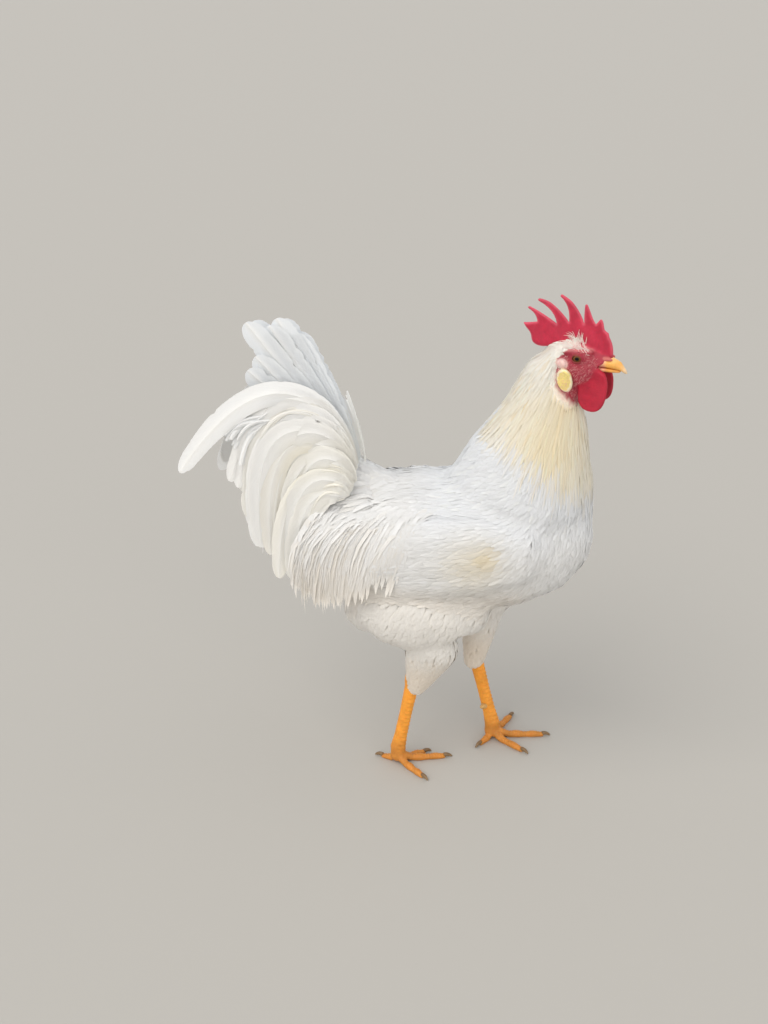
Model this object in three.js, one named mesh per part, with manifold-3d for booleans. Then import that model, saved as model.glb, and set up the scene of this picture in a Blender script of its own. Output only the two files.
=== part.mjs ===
// A life-size White Leghorn cock, standing with its right foot back and its left foot forward.
// Millimetres, +X forward, +Y to the bird's left, +Z up, soles on z = 0.

import * as THREE from "three";
import { mergeVertices } from "three/addons/utils/BufferGeometryUtils.js";
import Module from "manifold-3d";

const wasm = await Module();
wasm.setup();

// ---------------------------------------------------------------- driving dimensions

const GAP = 0.3; // clear space between neighbouring pieces
const HEAD_PIVOT = new THREE.Vector3(112, 0, 475); // where the head turns on the neck
const HEAD_YAW = -15; // degrees, beak turned to the bird's right
const COMB_BASE = 7.5; // thickness of the comb where it meets the skull
const COMB_EDGE = 2.6; // thickness of the comb at its spikes
const EYE_RADIUS = 6.3;
const EYE_PLACE = [17.2, 11.9, 495]; // in the head's own frame
const EARLOBE_SIZE = [7.7, 2.8, 12]; // half sizes
const EARLOBE_PLACE = [7.6, 20.2, 472];
const WATTLE_THICKNESS = 3.4;
const FOOT_RIGHT = [-49, -37]; // where the right ankle stands
const FOOT_LEFT = [53, 25];
const SHANK_DEPTH = 7.4; // half, front to back
const SHANK_WIDTH = 5.6; // half, side to side
const TOE_RADIUS = 4.6;
const BALL_SIZE = [8, 6.8, 9]; // half sizes of the joint where shank and toes meet
const BALL_HEIGHT = 10;
const SOLE = 0.78; // height of a toe's axis over the floor, as a share of its radius
const TOE_END = 2.9; // from the last station of a toe to the base of its claw
const CLAW_LENGTH = 7;
const VANE = 1.6; // thickness of a large tail feather
const SPUR_LENGTH = 11;
const TIP_START = 0.86; // where along its length a tail feather starts to round off
// Across a tail feather, as shares of its half width and of VANE: two thin edges and a keel.
const BLADE_SECTION = [
  [-1, -0.3],
  [0, -0.6],
  [1, -0.3],
  [1, 0.3],
  [0, 0.6],
  [-1, 0.3],
];

// ---------------------------------------------------------------- helpers

const deg = THREE.MathUtils.degToRad;
const vec = (p) => new THREE.Vector3(...p);
const DOME = deg(50); // where the one ring of a rounded end sits, up from its rim

// A geometry as a solid that can be joined and cut.
function solid(geometry) {
  const bare = new THREE.BufferGeometry();
  bare.setAttribute("position", geometry.getAttribute("position"));
  bare.setIndex(geometry.getIndex());
  const merged = mergeVertices(bare, 1e-3);
  return new wasm.Manifold(
    new wasm.Mesh({
      numProp: 3,
      vertProperties: new Float32Array(merged.attributes.position.array),
      triVerts: new Uint32Array(merged.index.array),
    }),
  );
}

// The largest body of a solid, as a geometry.
function geometryOf(shape) {
  const bodies = shape.decompose();
  bodies.sort((a, b) => b.volume() - a.volume());
  const mesh = bodies[0].getMesh();
  const points = new Float32Array(mesh.numVert * 3);
  for (let i = 0; i < mesh.numVert; i++) {
    points.set(mesh.vertProperties.subarray(i * mesh.numProp, i * mesh.numProp + 3), i * 3);
  }
  const geometry = new THREE.BufferGeometry();
  geometry.setAttribute("position", new THREE.BufferAttribute(points, 3));
  geometry.setIndex(new THREE.BufferAttribute(mesh.triVerts, 1));
  geometry.computeVertexNormals();
  return geometry;
}

// A closed surface through rings of equal length, with a pole at each end.
function skinOver(rings, startPole, endPole) {
  const sides = rings[0].length;
  const points = [startPole, ...rings.flat(), endPole];
  const index = [];
  const last = points.length - 1;
  const at = (ring, side) => 1 + ring * sides + (side % sides);
  for (let s = 0; s < sides; s++) {
    index.push(0, at(0, s + 1), at(0, s));
    for (let r = 0; r + 1 < rings.length; r++) {
      index.push(at(r, s), at(r, s + 1), at(r + 1, s + 1));
      index.push(at(r, s), at(r + 1, s + 1), at(r + 1, s));
    }
    index.push(last, at(rings.length - 1, s), at(rings.length - 1, s + 1));
  }
  const geometry = new THREE.BufferGeometry().setFromPoints(points);
  geometry.setIndex(index);
  return geometry;
}

// A rounded form along a path. Each station is [x, y, z, half width, half depth]: the width lies
// level, across the path, and the depth at right angles to both. grow makes it larger all round.
function loft(stations, { sides = 20, steps = 14, power = 2, nose = 0.5, tail = 0.5, grow = 0 } = {}) {
  const path = new THREE.CatmullRomCurve3(stations.map((s) => vec(s.slice(0, 3))));
  const sizes = new THREE.CatmullRomCurve3(stations.map((s) => new THREE.Vector3(s[3], s[4], 0)));
  path.curveType = "catmullrom";
  sizes.curveType = "catmullrom";
  const level = new THREE.Vector3(0, 1, 0);
  const rings = [];
  const ringAt = (t, shift, shrink) => {
    const along = path.getTangent(t);
    const across = level.clone().addScaledVector(along, -level.dot(along)).normalize();
    const up = along.clone().cross(across);
    const size = sizes.getPoint(t);
    const centre = path.getPoint(t).addScaledVector(along, shift);
    const ring = [];
    for (let s = 0; s < sides; s++) {
      const a = (2 * Math.PI * s) / sides;
      const c = Math.sign(Math.cos(a)) * Math.abs(Math.cos(a)) ** (2 / power);
      const d = Math.sign(Math.sin(a)) * Math.abs(Math.sin(a)) ** (2 / power);
      const point = centre.clone();
      point.addScaledVector(across, c * (size.x + grow) * shrink);
      point.addScaledVector(up, d * (size.y + grow) * shrink);
      ring.push(point);
    }
    return ring;
  };
  const reach = (t, share) => share * Math.min(sizes.getPoint(t).x, sizes.getPoint(t).y) + grow;
  const pole = (t, sign, share) =>
    path.getPoint(t).addScaledVector(path.getTangent(t), sign * reach(t, share));
  rings.push(ringAt(0, -reach(0, nose) * Math.sin(DOME), Math.cos(DOME)));
  for (let i = 0; i <= steps; i++) {
    rings.push(ringAt(i / steps, 0, 1));
  }
  rings.push(ringAt(1, reach(1, tail) * Math.sin(DOME), Math.cos(DOME)));
  return skinOver(rings, pole(0, -1, nose), pole(1, 1, tail));
}

// A plate with the given outline in the XZ plane, centred on the level y, with rounded edges.
function plate(shape, y, thickness, { bevel = 0, grow = 0, curveSegments = 4 } = {}) {
  const geometry = new THREE.ExtrudeGeometry(shape, {
    depth: Math.max(thickness - 2 * bevel, 0.01),
    curveSegments,
    bevelEnabled: bevel > 0 || grow > 0,
    bevelThickness: bevel || 0.01,
    bevelSize: grow || bevel,
    bevelOffset: grow ? 0 : -bevel,
    bevelSegments: 1,
  });
  geometry.rotateX(-Math.PI / 2);
  geometry.translate(0, y - thickness / 2 + bevel, 0);
  return geometry;
}

// A long feather along a path: a thin blade with a keel where its shaft runs. widths gives the half
// width at even steps, and the tip is rounded off.
function feather(points, widths, steps) {
  const path = new THREE.CatmullRomCurve3(points);
  const profile = new THREE.CatmullRomCurve3(widths.map((w, i) => new THREE.Vector3(i, w, 0)));
  const level = new THREE.Vector3(0, 1, 0);
  const rings = [];
  for (let i = 0; i < steps; i++) {
    const t = 1 - (1 - i / steps) ** 1.3;
    const centre = path.getPoint(t);
    const along = path.getTangent(t);
    const flat = level.clone().addScaledVector(along, -level.dot(along)).normalize();
    const side = flat.clone().cross(along);
    const tip = Math.max(0, (t - TIP_START) / (1 - TIP_START));
    const half = profile.getPoint(t).y * Math.sqrt(1 - tip * tip);
    const corner = ([across, out]) =>
      centre.clone().addScaledVector(side, across * half).addScaledVector(flat, out * VANE);
    rings.push(BLADE_SECTION.map(corner));
  }
  return skinOver(rings, path.getPoint(0), path.getPoint(1));
}

// Head shapes are drawn with the bird's face square ahead, x counted from the pivot.
const inHead = (geometry) => geometry.rotateZ(deg(HEAD_YAW)).translate(HEAD_PIVOT.x, HEAD_PIVOT.y, 0);

// ---------------------------------------------------------------- flesh and plumage masses

const trunkMass = (grow = 0) =>
  solid(
    loft(
      [
        [-112, 0, 270, 36, 46],
        [-80, 0, 270, 60, 66],
        [-40, 0, 268, 72, 77],
        [10, 0, 274, 76, 80],
        [60, 0, 285, 73, 81],
        [96, 0, 298, 62, 75],
        [123, 0, 312, 42, 58],
      ],
      { sides: 16, steps: 6, grow },
    ),
  );

const neckMass = (grow = 0) =>
  solid(
    loft(
      [
        [68, 0, 300, 58, 70],
        [75, 0, 342, 61, 76],
        [84, 0, 378, 52, 65],
        [91, 0, 405, 42, 54],
        [95.5, 0, 432, 33, 43],
        [97, 0, 457, 26, 32.5],
        [100, 0, 478, 20, 24],
        [105, 0, 488, 13, 13],
      ],
      { sides: 14, steps: 7, grow },
    ),
  );

const headMass = (grow = 0) =>
  solid(
    inHead(
      loft(
        [
          [-16, 0, 488, 13, 13],
          [-4, 0, 486, 17.6, 19],
          [10, 0, 487, 18, 20.5],
          [22, 0, 488, 16, 18.5],
          [33, 0, 488, 12, 14.5],
          [44, 0, 487.5, 8, 9.5],
        ],
        { sides: 12, steps: 5, power: 2.1, grow },
      ),
    ),
  );

const tailBaseMass = (grow = 0) =>
  solid(
    loft(
      [
        [-66, 0, 312, 34, 30],
        [-90, 0, 332, 27, 26],
        [-108, 0, 350, 18, 17],
      ],
      { sides: 10, steps: 3, grow },
    ),
  );

// A folded wing, tapering to its tip below the saddle. side is 1 for the left, -1 for the right.
const wingMass = (side, grow = 0) =>
  solid(
    loft(
      [
        [-122, side * 38, 228, 5, 12],
        [-92, side * 45, 244, 13, 30],
        [-55, side * 55, 264, 18, 45],
        [-10, side * 61, 281, 22, 49],
        [40, side * 62, 289, 22, 45],
        [84, side * 55, 288, 20, 34],
        [103, side * 47, 284, 12, 20],
      ],
      { sides: 10, steps: 6, power: 2.3, grow },
    ),
  );

// The feathered mass of the thigh and flank, shifted forward on the side whose foot is forward.
const thighMass = (side, forward, grow = 0) =>
  solid(
    loft(
      [
        [forward - 86, side * 43, 202, 15, 18],
        [forward - 66, side * 45, 200, 24, 34],
        [forward - 30, side * 46, 201, 30, 45],
        [forward + 8, side * 43, 206, 28, 41],
        [forward + 38, side * 36, 212, 19, 28],
      ],
      { sides: 12, steps: 4, grow },
    ),
  );

const drumstickMass = (stations, grow = 0) => solid(loft(stations, { sides: 8, steps: 4, grow }));
const DRUM_RIGHT = [
  [22, -44, 176, 20, 26],
  [8, -43, 157, 19, 25],
  [-12, -40, 131, 14, 19],
  [-28, -38, 110, 8.4, 10],
];
const DRUM_LEFT = [
  [38, 36, 176, 20, 24],
  [35, 33, 156, 18, 21],
  [31, 28, 128, 13, 16],
  [32, 26, 106, 8.4, 10],
];

// The shell of saddle hackles that falls over the rump and the tips of the wings.
const saddleMass = (grow = 0) =>
  solid(
    loft(
      [
        [-172, 0, 268, 36, 44],
        [-135, 0, 268, 57, 57],
        [-92, 0, 268, 72, 66],
        [-50, 0, 268, 80, 77],
        [-10, 0, 272, 82, 79],
        [30, 0, 276, 80, 80],
      ],
      { sides: 12, steps: 4, power: 2.2, grow },
    ),
  );

// Soft feathers below the tail, between the two curtains of coverts.
const undertailMass = (grow = 0) =>
  solid(
    loft(
      [
        [-112, 0, 306, 28, 34],
        [-135, 0, 308, 23, 36],
        [-160, 0, 296, 17, 32],
        [-178, 0, 272, 10, 20],
      ],
      { sides: 8, steps: 3, grow },
    ),
  );

// ---------------------------------------------------------------- outlines

// A polygon in the XZ plane. ExtrudeGeometry draws in XY, so z goes in as -y.
function outline(points) {
  const shape = new THREE.Shape();
  shape.moveTo(points[0][0], -points[0][1]);
  for (const p of points.slice(1)) {
    if (p.length === 2) shape.lineTo(p[0], -p[1]);
    else shape.quadraticCurveTo(p[0], -p[1], p[2], -p[3]);
  }
  return shape;
}

// Where the fringe of the neck hackle ends over the shoulders.
const hackleRegion = outline([
  [-30, 398],
  [10, 394],
  [46, 397],
  [82, 378],
  [112, 352],
  [140, 337],
  [180, 334],
  [180, 620],
  [-30, 620],
]);

// Where the saddle hackle ends over the rump and flanks.
const saddleRegion = outline([
  [-14, 390],
  [-30, 326],
  [-46, 296],
  [-60, 264],
  [-84, 248],
  [-112, 222],
  [-142, 236],
  [-141, 272],
  [-124, 310],
  [-100, 344],
  [-90, 390],
]);

// Comb: front foot, up the front edge over five spikes, round the rear lobe and back into the skull.
const combOutline = outline([
  [50, 495],
  [49, 508, 44, 517],
  [43.4, 520.5],
  [41, 520],
  [38, 527, 35.4, 532.8],
  [34, 527, 31.2, 526.4],
  [25, 535, 19.4, 545],
  [18, 535, 17.2, 526.2],
  [7, 541, -6.4, 551.8],
  [-1, 536, 1.8, 526],
  [-13, 540, -27.6, 545.8],
  [-15, 533, -10.8, 521.8],
  [-24, 532, -38.8, 535.6],
  [-30, 529, -29.6, 522],
  [-36, 520.5, -43.6, 519.4],
  [-40, 502, -25, 497.4],
  [-14, 496, -8, 499],
  [4, 492],
  [40, 488],
]);

const wattleOutline = outline([
  [25, 478],
  [19, 468, 19.6, 456],
  [22, 443, 39, 441.6],
  [47, 446, 49.4, 464],
  [50, 474, 45, 480],
  [36, 484],
]);

// ---------------------------------------------------------------- head pieces

// The comb is thick where it grows from the skull and thin at its spikes.
function combBlade() {
  const geometry = plate(combOutline, 0, 1, { bevel: 0.22, curveSegments: 2 });
  const place = geometry.getAttribute("position");
  for (let i = 0; i < place.count; i++) {
    const height = THREE.MathUtils.clamp((place.getZ(i) - 497) / 32, 0, 1);
    place.setY(i, place.getY(i) * THREE.MathUtils.lerp(COMB_BASE, COMB_EDGE, height));
  }
  return solid(inHead(geometry));
}

// A wattle hangs from the jaw, its lower edge swung a little outwards about its root.
function wattleBlade(side) {
  const root = 484;
  const geometry = plate(wattleOutline, 0, WATTLE_THICKNESS, { bevel: 0.8, curveSegments: 2 });
  geometry.translate(0, 0, -root);
  geometry.rotateX(deg(side * 9));
  geometry.translate(0, side * 8.5, root);
  return solid(inHead(geometry));
}

function earlobeDisc(side) {
  const geometry = new THREE.SphereGeometry(1, 10, 6);
  geometry.scale(...EARLOBE_SIZE);
  geometry.rotateY(deg(-16));
  geometry.translate(EARLOBE_PLACE[0], side * EARLOBE_PLACE[1], EARLOBE_PLACE[2]);
  return solid(inHead(geometry));
}

function eyeBall(side, grow = 0) {
  const geometry = new THREE.SphereGeometry(EYE_RADIUS + grow, 8, 6);
  geometry.translate(EYE_PLACE[0], side * EYE_PLACE[1], EYE_PLACE[2]);
  return solid(inHead(geometry));
}

const upperBeak = (grow = 0) =>
  solid(
    inHead(
      loft(
        [
          [33, 0, 490.5, 9.6, 5.4],
          [42, 0, 490.4, 8.2, 5.8],
          [50, 0, 489.8, 6.6, 5.8],
          [57, 0, 487.6, 4.5, 4.6],
          [62.3, 0, 484.4, 2.6, 3],
          [64.8, 0, 481.4, 0.8, 1.2],
        ],
        { sides: 8, steps: 6, nose: 0.2, tail: 0.6, grow },
      ),
    ),
  );

const lowerBeak = () =>
  solid(
    inHead(
      loft(
        [
          [33, 0, 483.6, 8.6, 3.6],
          [42, 0, 483.2, 7, 3.6],
          [50, 0, 482.6, 5.2, 3],
          [56.5, 0, 482, 3, 1.8],
          [59, 0, 482, 1.4, 0.9],
        ],
        { sides: 8, steps: 4, nose: 0.2, tail: 0.5 },
      ),
    ),
  );

// ---------------------------------------------------------------- legs

const SHANK_TOP_RIGHT = [-32, -38, 116];
const SHANK_TOP_LEFT = [30, 26, 112];

const shankMass = (top, foot, grow = 0) =>
  solid(
    loft(
      [
        [top[0], top[1], top[2], SHANK_WIDTH + 1.2, SHANK_DEPTH + 1.4],
        [(2 * top[0] + foot[0]) / 3, (2 * top[1] + foot[1]) / 3, 80, SHANK_WIDTH, SHANK_DEPTH],
        [(top[0] + 2 * foot[0]) / 3, (top[1] + 2 * foot[1]) / 3, 46, SHANK_WIDTH - 0.4, SHANK_DEPTH - 0.4],
        [foot[0], foot[1], 20, SHANK_WIDTH + 0.4, SHANK_DEPTH + 0.2],
      ],
      { sides: 10, steps: 3, grow },
    ),
  );

// One toe lies along +X from the ankle. Its underside swells at each joint pad.
function toe(length, radius, pads, rise) {
  const stations = [];
  const joints = 2 * pads;
  for (let i = 0; i <= joints; i++) {
    const share = i / joints;
    const swell = i % 2 ? 1.1 : 0.92;
    const r = radius * swell * THREE.MathUtils.lerp(1, 0.72, share);
    const height = THREE.MathUtils.lerp(rise, SOLE * r, Math.min(1, 3 * share));
    stations.push([length * share, 0, height, r, 0.96 * r]);
  }
  return loft(stations, { sides: 6, steps: joints, nose: 0.8, tail: 0.7 });
}

// A claw curves forward and down from the tip of its toe.
const claw = (length) =>
  loft(
    [
      [length + TOE_END, 0, 3.4, 1.9, 2.2],
      [length + TOE_END + 0.4 * CLAW_LENGTH, 0, 3.5, 1.5, 1.8],
      [length + TOE_END + 0.8 * CLAW_LENGTH, 0, 2.2, 0.9, 1],
      [length + TOE_END + CLAW_LENGTH, 0, 1.2, 0.4, 0.5],
    ],
    { sides: 5, steps: 2, nose: 0, tail: 0.5 },
  );

// Toes as [direction in degrees, length to the root of the claw, radius, pads, height of the root].
const TOES_RIGHT = [
  [165, 18, 4.2, 1, 13],
  [33, 32, TOE_RADIUS, 2, 9],
  [15, 52, TOE_RADIUS, 3, 9],
  [-41, 40, TOE_RADIUS, 3, 9],
];
const TOES_LEFT = [
  [-122, 21, 4.2, 1, 13],
  [-34, 43, TOE_RADIUS, 2, 9],
  [9, 58, TOE_RADIUS, 3, 9],
  [65, 43, TOE_RADIUS, 3, 9],
];
const TOE_NAMES = ["hallux", "inner", "middle", "outer"];

const placeToe = (geometry, foot, direction) =>
  geometry.rotateZ(deg(direction)).translate(foot[0], foot[1], 0);

const floorBelow = solid(new THREE.BoxGeometry(600, 400, 40).translate(0, 0, -20));

function footMass(foot, toes) {
  const ball = new THREE.SphereGeometry(1, 8, 5).scale(...BALL_SIZE).translate(foot[0], foot[1], BALL_HEIGHT);
  let shape = solid(ball);
  for (const [direction, length, radius, pads, rise] of toes) {
    shape = shape.add(solid(placeToe(toe(length, radius, pads, rise), foot, direction)));
  }
  return shape.subtract(floorBelow);
}

// A spur grows from the inner face of the shank: a blunt cone that curves a little upwards.
function spurCone(base, direction) {
  const geometry = loft(
    [
      [0, 0, 0, 4, 4],
      [0.5 * SPUR_LENGTH, 0, 0.6, 3.2, 3.2],
      [SPUR_LENGTH, 0, 2, 1.2, 1.2],
    ],
    { sides: 8, steps: 3 },
  );
  return solid(geometry.rotateZ(deg(direction)).translate(...base));
}

// ---------------------------------------------------------------- tail feathers

// The tail quills fan out from the tail base. Each row is [direction, length] from the front quill back.
const FAN_ROOT = [-97, 352];
const FAN = [
  [113.5, 160],
  [118.5, 178],
  [124, 184],
  [130.5, 194],
  [137.5, 166],
  [145, 160],
  [153, 152],
];
const FAN_WIDTHS = [4, 7, 10.5, 13, 13.5, 12, 6.5];

function tailFan(side) {
  let fan = null;
  FAN.forEach(([direction, length], i) => {
    const out = (share) => side * (2.2 + 1.3 * i + share * (2 + 1.5 * i));
    const at = (share, bend) =>
      new THREE.Vector3(
        FAN_ROOT[0] + length * share * Math.cos(deg(direction - bend)),
        out(share),
        FAN_ROOT[1] + length * share * Math.sin(deg(direction - bend)),
      );
    const blade = solid(feather([at(0, 0), at(0.35, 1.5), at(0.7, 1.5), at(1, 0)], FAN_WIDTHS, 5));
    fan = fan ? fan.add(blade) : blade;
  });
  return fan;
}

// A sickle rises from its root to its crest, then hangs to its tip. hang is how far the curve reaches
// beyond the crest before it turns down, as a share of the way to its tip.
function sicklePath({ root, crest, tip, hang }) {
  const corner = (from, to, share) =>
    new THREE.Vector3(THREE.MathUtils.lerp(from[0], to[0], share), crest[1], crest[2]);
  const path = new THREE.CurvePath();
  path.add(new THREE.QuadraticBezierCurve3(vec(root), corner(root, crest, 0.3), vec(crest)));
  path.add(new THREE.QuadraticBezierCurve3(vec(crest), corner(crest, tip, hang), vec(tip)));
  return path.getSpacedPoints(7);
}

const SICKLE_WIDTHS = [6, 10, 12.5, 13, 12.5, 12, 11.5, 5];
const SICKLE_RIGHT = { root: [-98, -20, 362], crest: [-172, -27, 443], tip: [-287, -23, 343], hang: 0.45 };
const SICKLE_LEFT = { root: [-98, 20, 360], crest: [-163, 27, 430], tip: [-253, 21, 327], hang: 0.6 };

// The lesser sickles of the left side; those of the right mirror them.
const LESSER_WIDTHS = [6, 11, 14, 14.5, 14, 12.5, 10, 4];
const LESSER_SICKLES = [
  { root: [-100, 22, 356], crest: [-143, 29, 393], tip: [-184, 33, 262], hang: 1.15 },
  { root: [-98, 26, 356], crest: [-146, 35, 411], tip: [-201, 40, 268], hang: 1.25 },
  { root: [-98, 29, 348], crest: [-118, 37, 364], tip: [-178, 46, 238], hang: 0.95 },
  { root: [-98, 37, 350], crest: [-120, 46, 374], tip: [-164, 52, 300], hang: 0.6 },
  { root: [-104, 45, 336], crest: [-114, 55, 343], tip: [-158, 61, 243], hang: 0.6 },
];

// The narrow quill that stands up at the front of the tail.
const TAIL_FRONT = [
  [-89, 0, 352],
  [-99, 0, 385],
  [-107, 0, 412],
  [-112, 0, 433],
].map(vec);
const TAIL_FRONT_WIDTHS = [3, 5, 6, 3];

// ---------------------------------------------------------------- assembly

const bird = new THREE.Group();
const LOOKS = {
  plumage: [0xf1efe8, 0.8],
  hackle: [0xefe3c4, 0.75],
  quill: [0xe9ecf0, 0.6],
  comb: [0xc4163a, 0.55],
  face: [0xb8404a, 0.6],
  earlobe: [0xe8dc93, 0.55],
  beak: [0xe0a352, 0.4],
  eye: [0x7a4a1c, 0.1],
  shank: [0xe09a32, 0.55],
  claw: [0xc9a878, 0.45],
};

function place(name, shape, look) {
  const [color, roughness] = LOOKS[look];
  const mesh = new THREE.Mesh(
    geometryOf(shape),
    new THREE.MeshStandardMaterial({ color, roughness, metalness: 0 }),
  );
  mesh.name = name;
  bird.add(mesh);
}

const SIDES = [
  {
    word: "right",
    sign: -1,
    stride: 0,
    drum: DRUM_RIGHT,
    top: SHANK_TOP_RIGHT,
    foot: FOOT_RIGHT,
    toes: TOES_RIGHT,
    spur: { base: [-45, -36, 40], direction: 125 },
  },
  {
    word: "left",
    sign: 1,
    stride: 48,
    drum: DRUM_LEFT,
    top: SHANK_TOP_LEFT,
    foot: FOOT_LEFT,
    toes: TOES_LEFT,
    spur: { base: [45, 24.5, 45], direction: -115 },
  },
];

// The trunk and neck are one form, parted where the hackle's fringe ends.
const hackleCutter = solid(plate(hackleRegion, 0, 300));
const hackleClear = solid(plate(hackleRegion, 0, 302, { grow: GAP }));
const torso = trunkMass().add(neckMass());
let trunk = torso.subtract(hackleClear);
let neck = torso.intersect(hackleCutter).subtract(headMass(GAP));
for (const { sign, stride } of SIDES) {
  trunk = trunk.subtract(thighMass(sign, stride, GAP));
}
place("trunk", trunk, "plumage");
place("neck", neck, "hackle");

// Head
const headClear = headMass(GAP);
const neckClear = neckMass(GAP);
const beakClear = upperBeak(GAP);
let head = headMass();
for (const { sign } of SIDES) {
  head = head.subtract(eyeBall(sign, GAP));
}
place("head", head, "face");
place("comb", combBlade().subtract(headClear).subtract(neckClear).subtract(beakClear), "comb");
place("beak_upper", upperBeak().subtract(headClear), "beak");
place("beak_lower", lowerBeak().subtract(headClear).subtract(beakClear), "beak");
for (const { word, sign } of SIDES) {
  place("eye_" + word, eyeBall(sign), "eye");
  place("earlobe_" + word, earlobeDisc(sign).subtract(headClear).subtract(neckClear), "earlobe");
  place("wattle_" + word, wattleBlade(sign).subtract(headClear).subtract(beakClear), "comb");
}

// Wings, thighs and saddle
const trunkClear = trunkMass(GAP);
let saddle = saddleMass().intersect(solid(plate(saddleRegion, 0, 300))).subtract(trunkClear);
for (const { word, sign, stride, drum } of SIDES) {
  const thighClear = thighMass(sign, stride, GAP);
  const drumClear = drumstickMass(drum, GAP);
  const wing = wingMass(sign).subtract(trunkClear).subtract(thighClear).subtract(neckClear);
  place("wing_" + word, wing, "plumage");
  place("thigh_" + word, thighMass(sign, stride).subtract(drumClear), "plumage");
  saddle = saddle.subtract(wingMass(sign, GAP)).subtract(thighClear);
}
saddle = saddle.subtract(tailBaseMass(GAP)).subtract(undertailMass(GAP));
place("saddle", saddle, "plumage");

// Legs
for (const { word, foot, toes, top, drum, spur } of SIDES) {
  const shankClear = shankMass(top, foot, GAP);
  place("drumstick_" + word, drumstickMass(drum).subtract(shankClear), "plumage");
  place("shank_" + word, shankMass(top, foot), "shank");
  place("foot_" + word, footMass(foot, toes).subtract(shankClear), "shank");
  place("spur_" + word, spurCone(spur.base, spur.direction).subtract(shankClear), "claw");
  toes.forEach(([direction, length], i) => {
    place("claw_" + TOE_NAMES[i] + "_" + word, solid(placeToe(claw(length), foot, direction)), "claw");
  });
}

// Tail
const baseClear = tailBaseMass(GAP);
const undertailClear = undertailMass(GAP);
place("tail_base", tailBaseMass().subtract(trunkClear), "plumage");
place("undertail", undertailMass().subtract(trunkClear).subtract(baseClear), "plumage");
const saddleClear = saddleMass(GAP).intersect(solid(plate(saddleRegion, 0, 300, { grow: GAP })));
const trimTail = (shape) =>
  shape.subtract(baseClear).subtract(undertailClear).subtract(trunkClear).subtract(saddleClear);
for (const { word, sign } of SIDES) {
  place("tail_fan_" + word, trimTail(tailFan(sign)), "quill");
  const path = sicklePath(sign < 0 ? SICKLE_RIGHT : SICKLE_LEFT);
  place("sickle_" + word, trimTail(solid(feather(path, SICKLE_WIDTHS, 9))), "quill");
  LESSER_SICKLES.forEach((form, i) => {
    const points = sicklePath(form);
    points.forEach((p) => p.setY(sign * p.y));
    const blade = solid(feather(points, LESSER_WIDTHS, 7));
    place("lesser_sickle_" + word + "_" + (i + 1), trimTail(blade), "quill");
  });
}
place("tail_front", trimTail(solid(feather(TAIL_FRONT, TAIL_FRONT_WIDTHS, 6))), "quill");

// The origin lies under the middle of the bird.
const extent = new THREE.Box3().setFromObject(bird);
const middle = extent.getCenter(new THREE.Vector3());
bird.position.set(-middle.x, -middle.y, -extent.min.z);
const model = new THREE.Group();
model.add(bird);

export default model;
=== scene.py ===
"""A life-size White Leghorn cock in mid-stride: one skin, eyes, beak and claws, and a coat of solid feathers.

Sizes are millimetres in the drawing's own frame, which is the model's frame but for a shift along X.
"""

import math

import bpy
import numpy as np
import openvdb as vdb
from mathutils import Matrix, Vector, kdtree


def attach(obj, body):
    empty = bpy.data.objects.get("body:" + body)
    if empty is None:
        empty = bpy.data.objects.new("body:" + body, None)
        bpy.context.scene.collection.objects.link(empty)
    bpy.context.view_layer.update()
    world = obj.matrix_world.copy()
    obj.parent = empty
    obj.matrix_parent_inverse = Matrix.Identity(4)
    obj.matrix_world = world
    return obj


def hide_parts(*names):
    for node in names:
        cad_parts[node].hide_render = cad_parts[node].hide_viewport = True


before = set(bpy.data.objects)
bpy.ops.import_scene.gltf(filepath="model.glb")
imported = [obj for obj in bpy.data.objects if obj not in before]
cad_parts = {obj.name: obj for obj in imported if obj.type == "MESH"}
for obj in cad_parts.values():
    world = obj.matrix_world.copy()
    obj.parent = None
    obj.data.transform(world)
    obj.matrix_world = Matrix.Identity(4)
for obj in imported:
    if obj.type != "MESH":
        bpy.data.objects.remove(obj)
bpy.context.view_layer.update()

# ---------------------------------------------------------------- driving sizes

MIDDLE = 55.76  # the drawing's origin lies this far in front of the model's
HEAD_PIVOT = 112.0  # where the head turns on the neck
HEAD_YAW = -15  # degrees, to the bird's right
EYE = (17.4, 11.9, 495.5)  # centre of the eyeball, in the head's own frame
EYE_RADIUS = 6.3
SIDES = {"right": -1, "left": 1}
FOOT_RIGHT = (-49, -37)
FOOT_LEFT = (53, 25)

BODY_PITCH = 3.0  # cells of the fields that the forms are worked out on
HEAD_PITCH = 0.55
LEG_PITCH = 0.72
BEAK_PITCH = 0.45
FAR = 60.0  # the distance given where nothing is near
BAND = 14.0  # cells on each side of a mesh where its distance is worked out
SKIN_TRIANGLES = 194000  # before the shared parts of its forms are cut away
PATCH = 0.003  # size of one tuft's place on its baked map
VANE_MAP = (100, 400)  # mm that the feathers' own map spans across and along a vane


def drawn(points):
    """Frame metres to the drawing's millimetres."""
    return np.asarray(points, float) * 1000 - (MIDDLE, 0, 0)


def metres(points):
    """The drawing's millimetres to frame metres."""
    return (np.asarray(points, float) + (MIDDLE, 0, 0)) * 0.001


def heading(degrees):
    """Cosine and sine of a direction seen from above."""
    return math.cos(math.radians(degrees)), math.sin(math.radians(degrees))


def from_head(points):
    """Points in the head's own frame, x forward along the beak, to the drawing's frame."""
    x, y, z = np.asarray(points, float).T
    c, s = heading(HEAD_YAW)
    return np.stack([HEAD_PIVOT + c * x - s * y, s * x + c * y, z], -1)


def to_head(points):
    """Points in the drawing's frame to the head's own."""
    x, y, z = np.asarray(points, float).T
    c, s = heading(HEAD_YAW)
    x = x - HEAD_PIVOT
    return np.stack([c * x + s * y, -s * x + c * y, z], -1)


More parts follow.
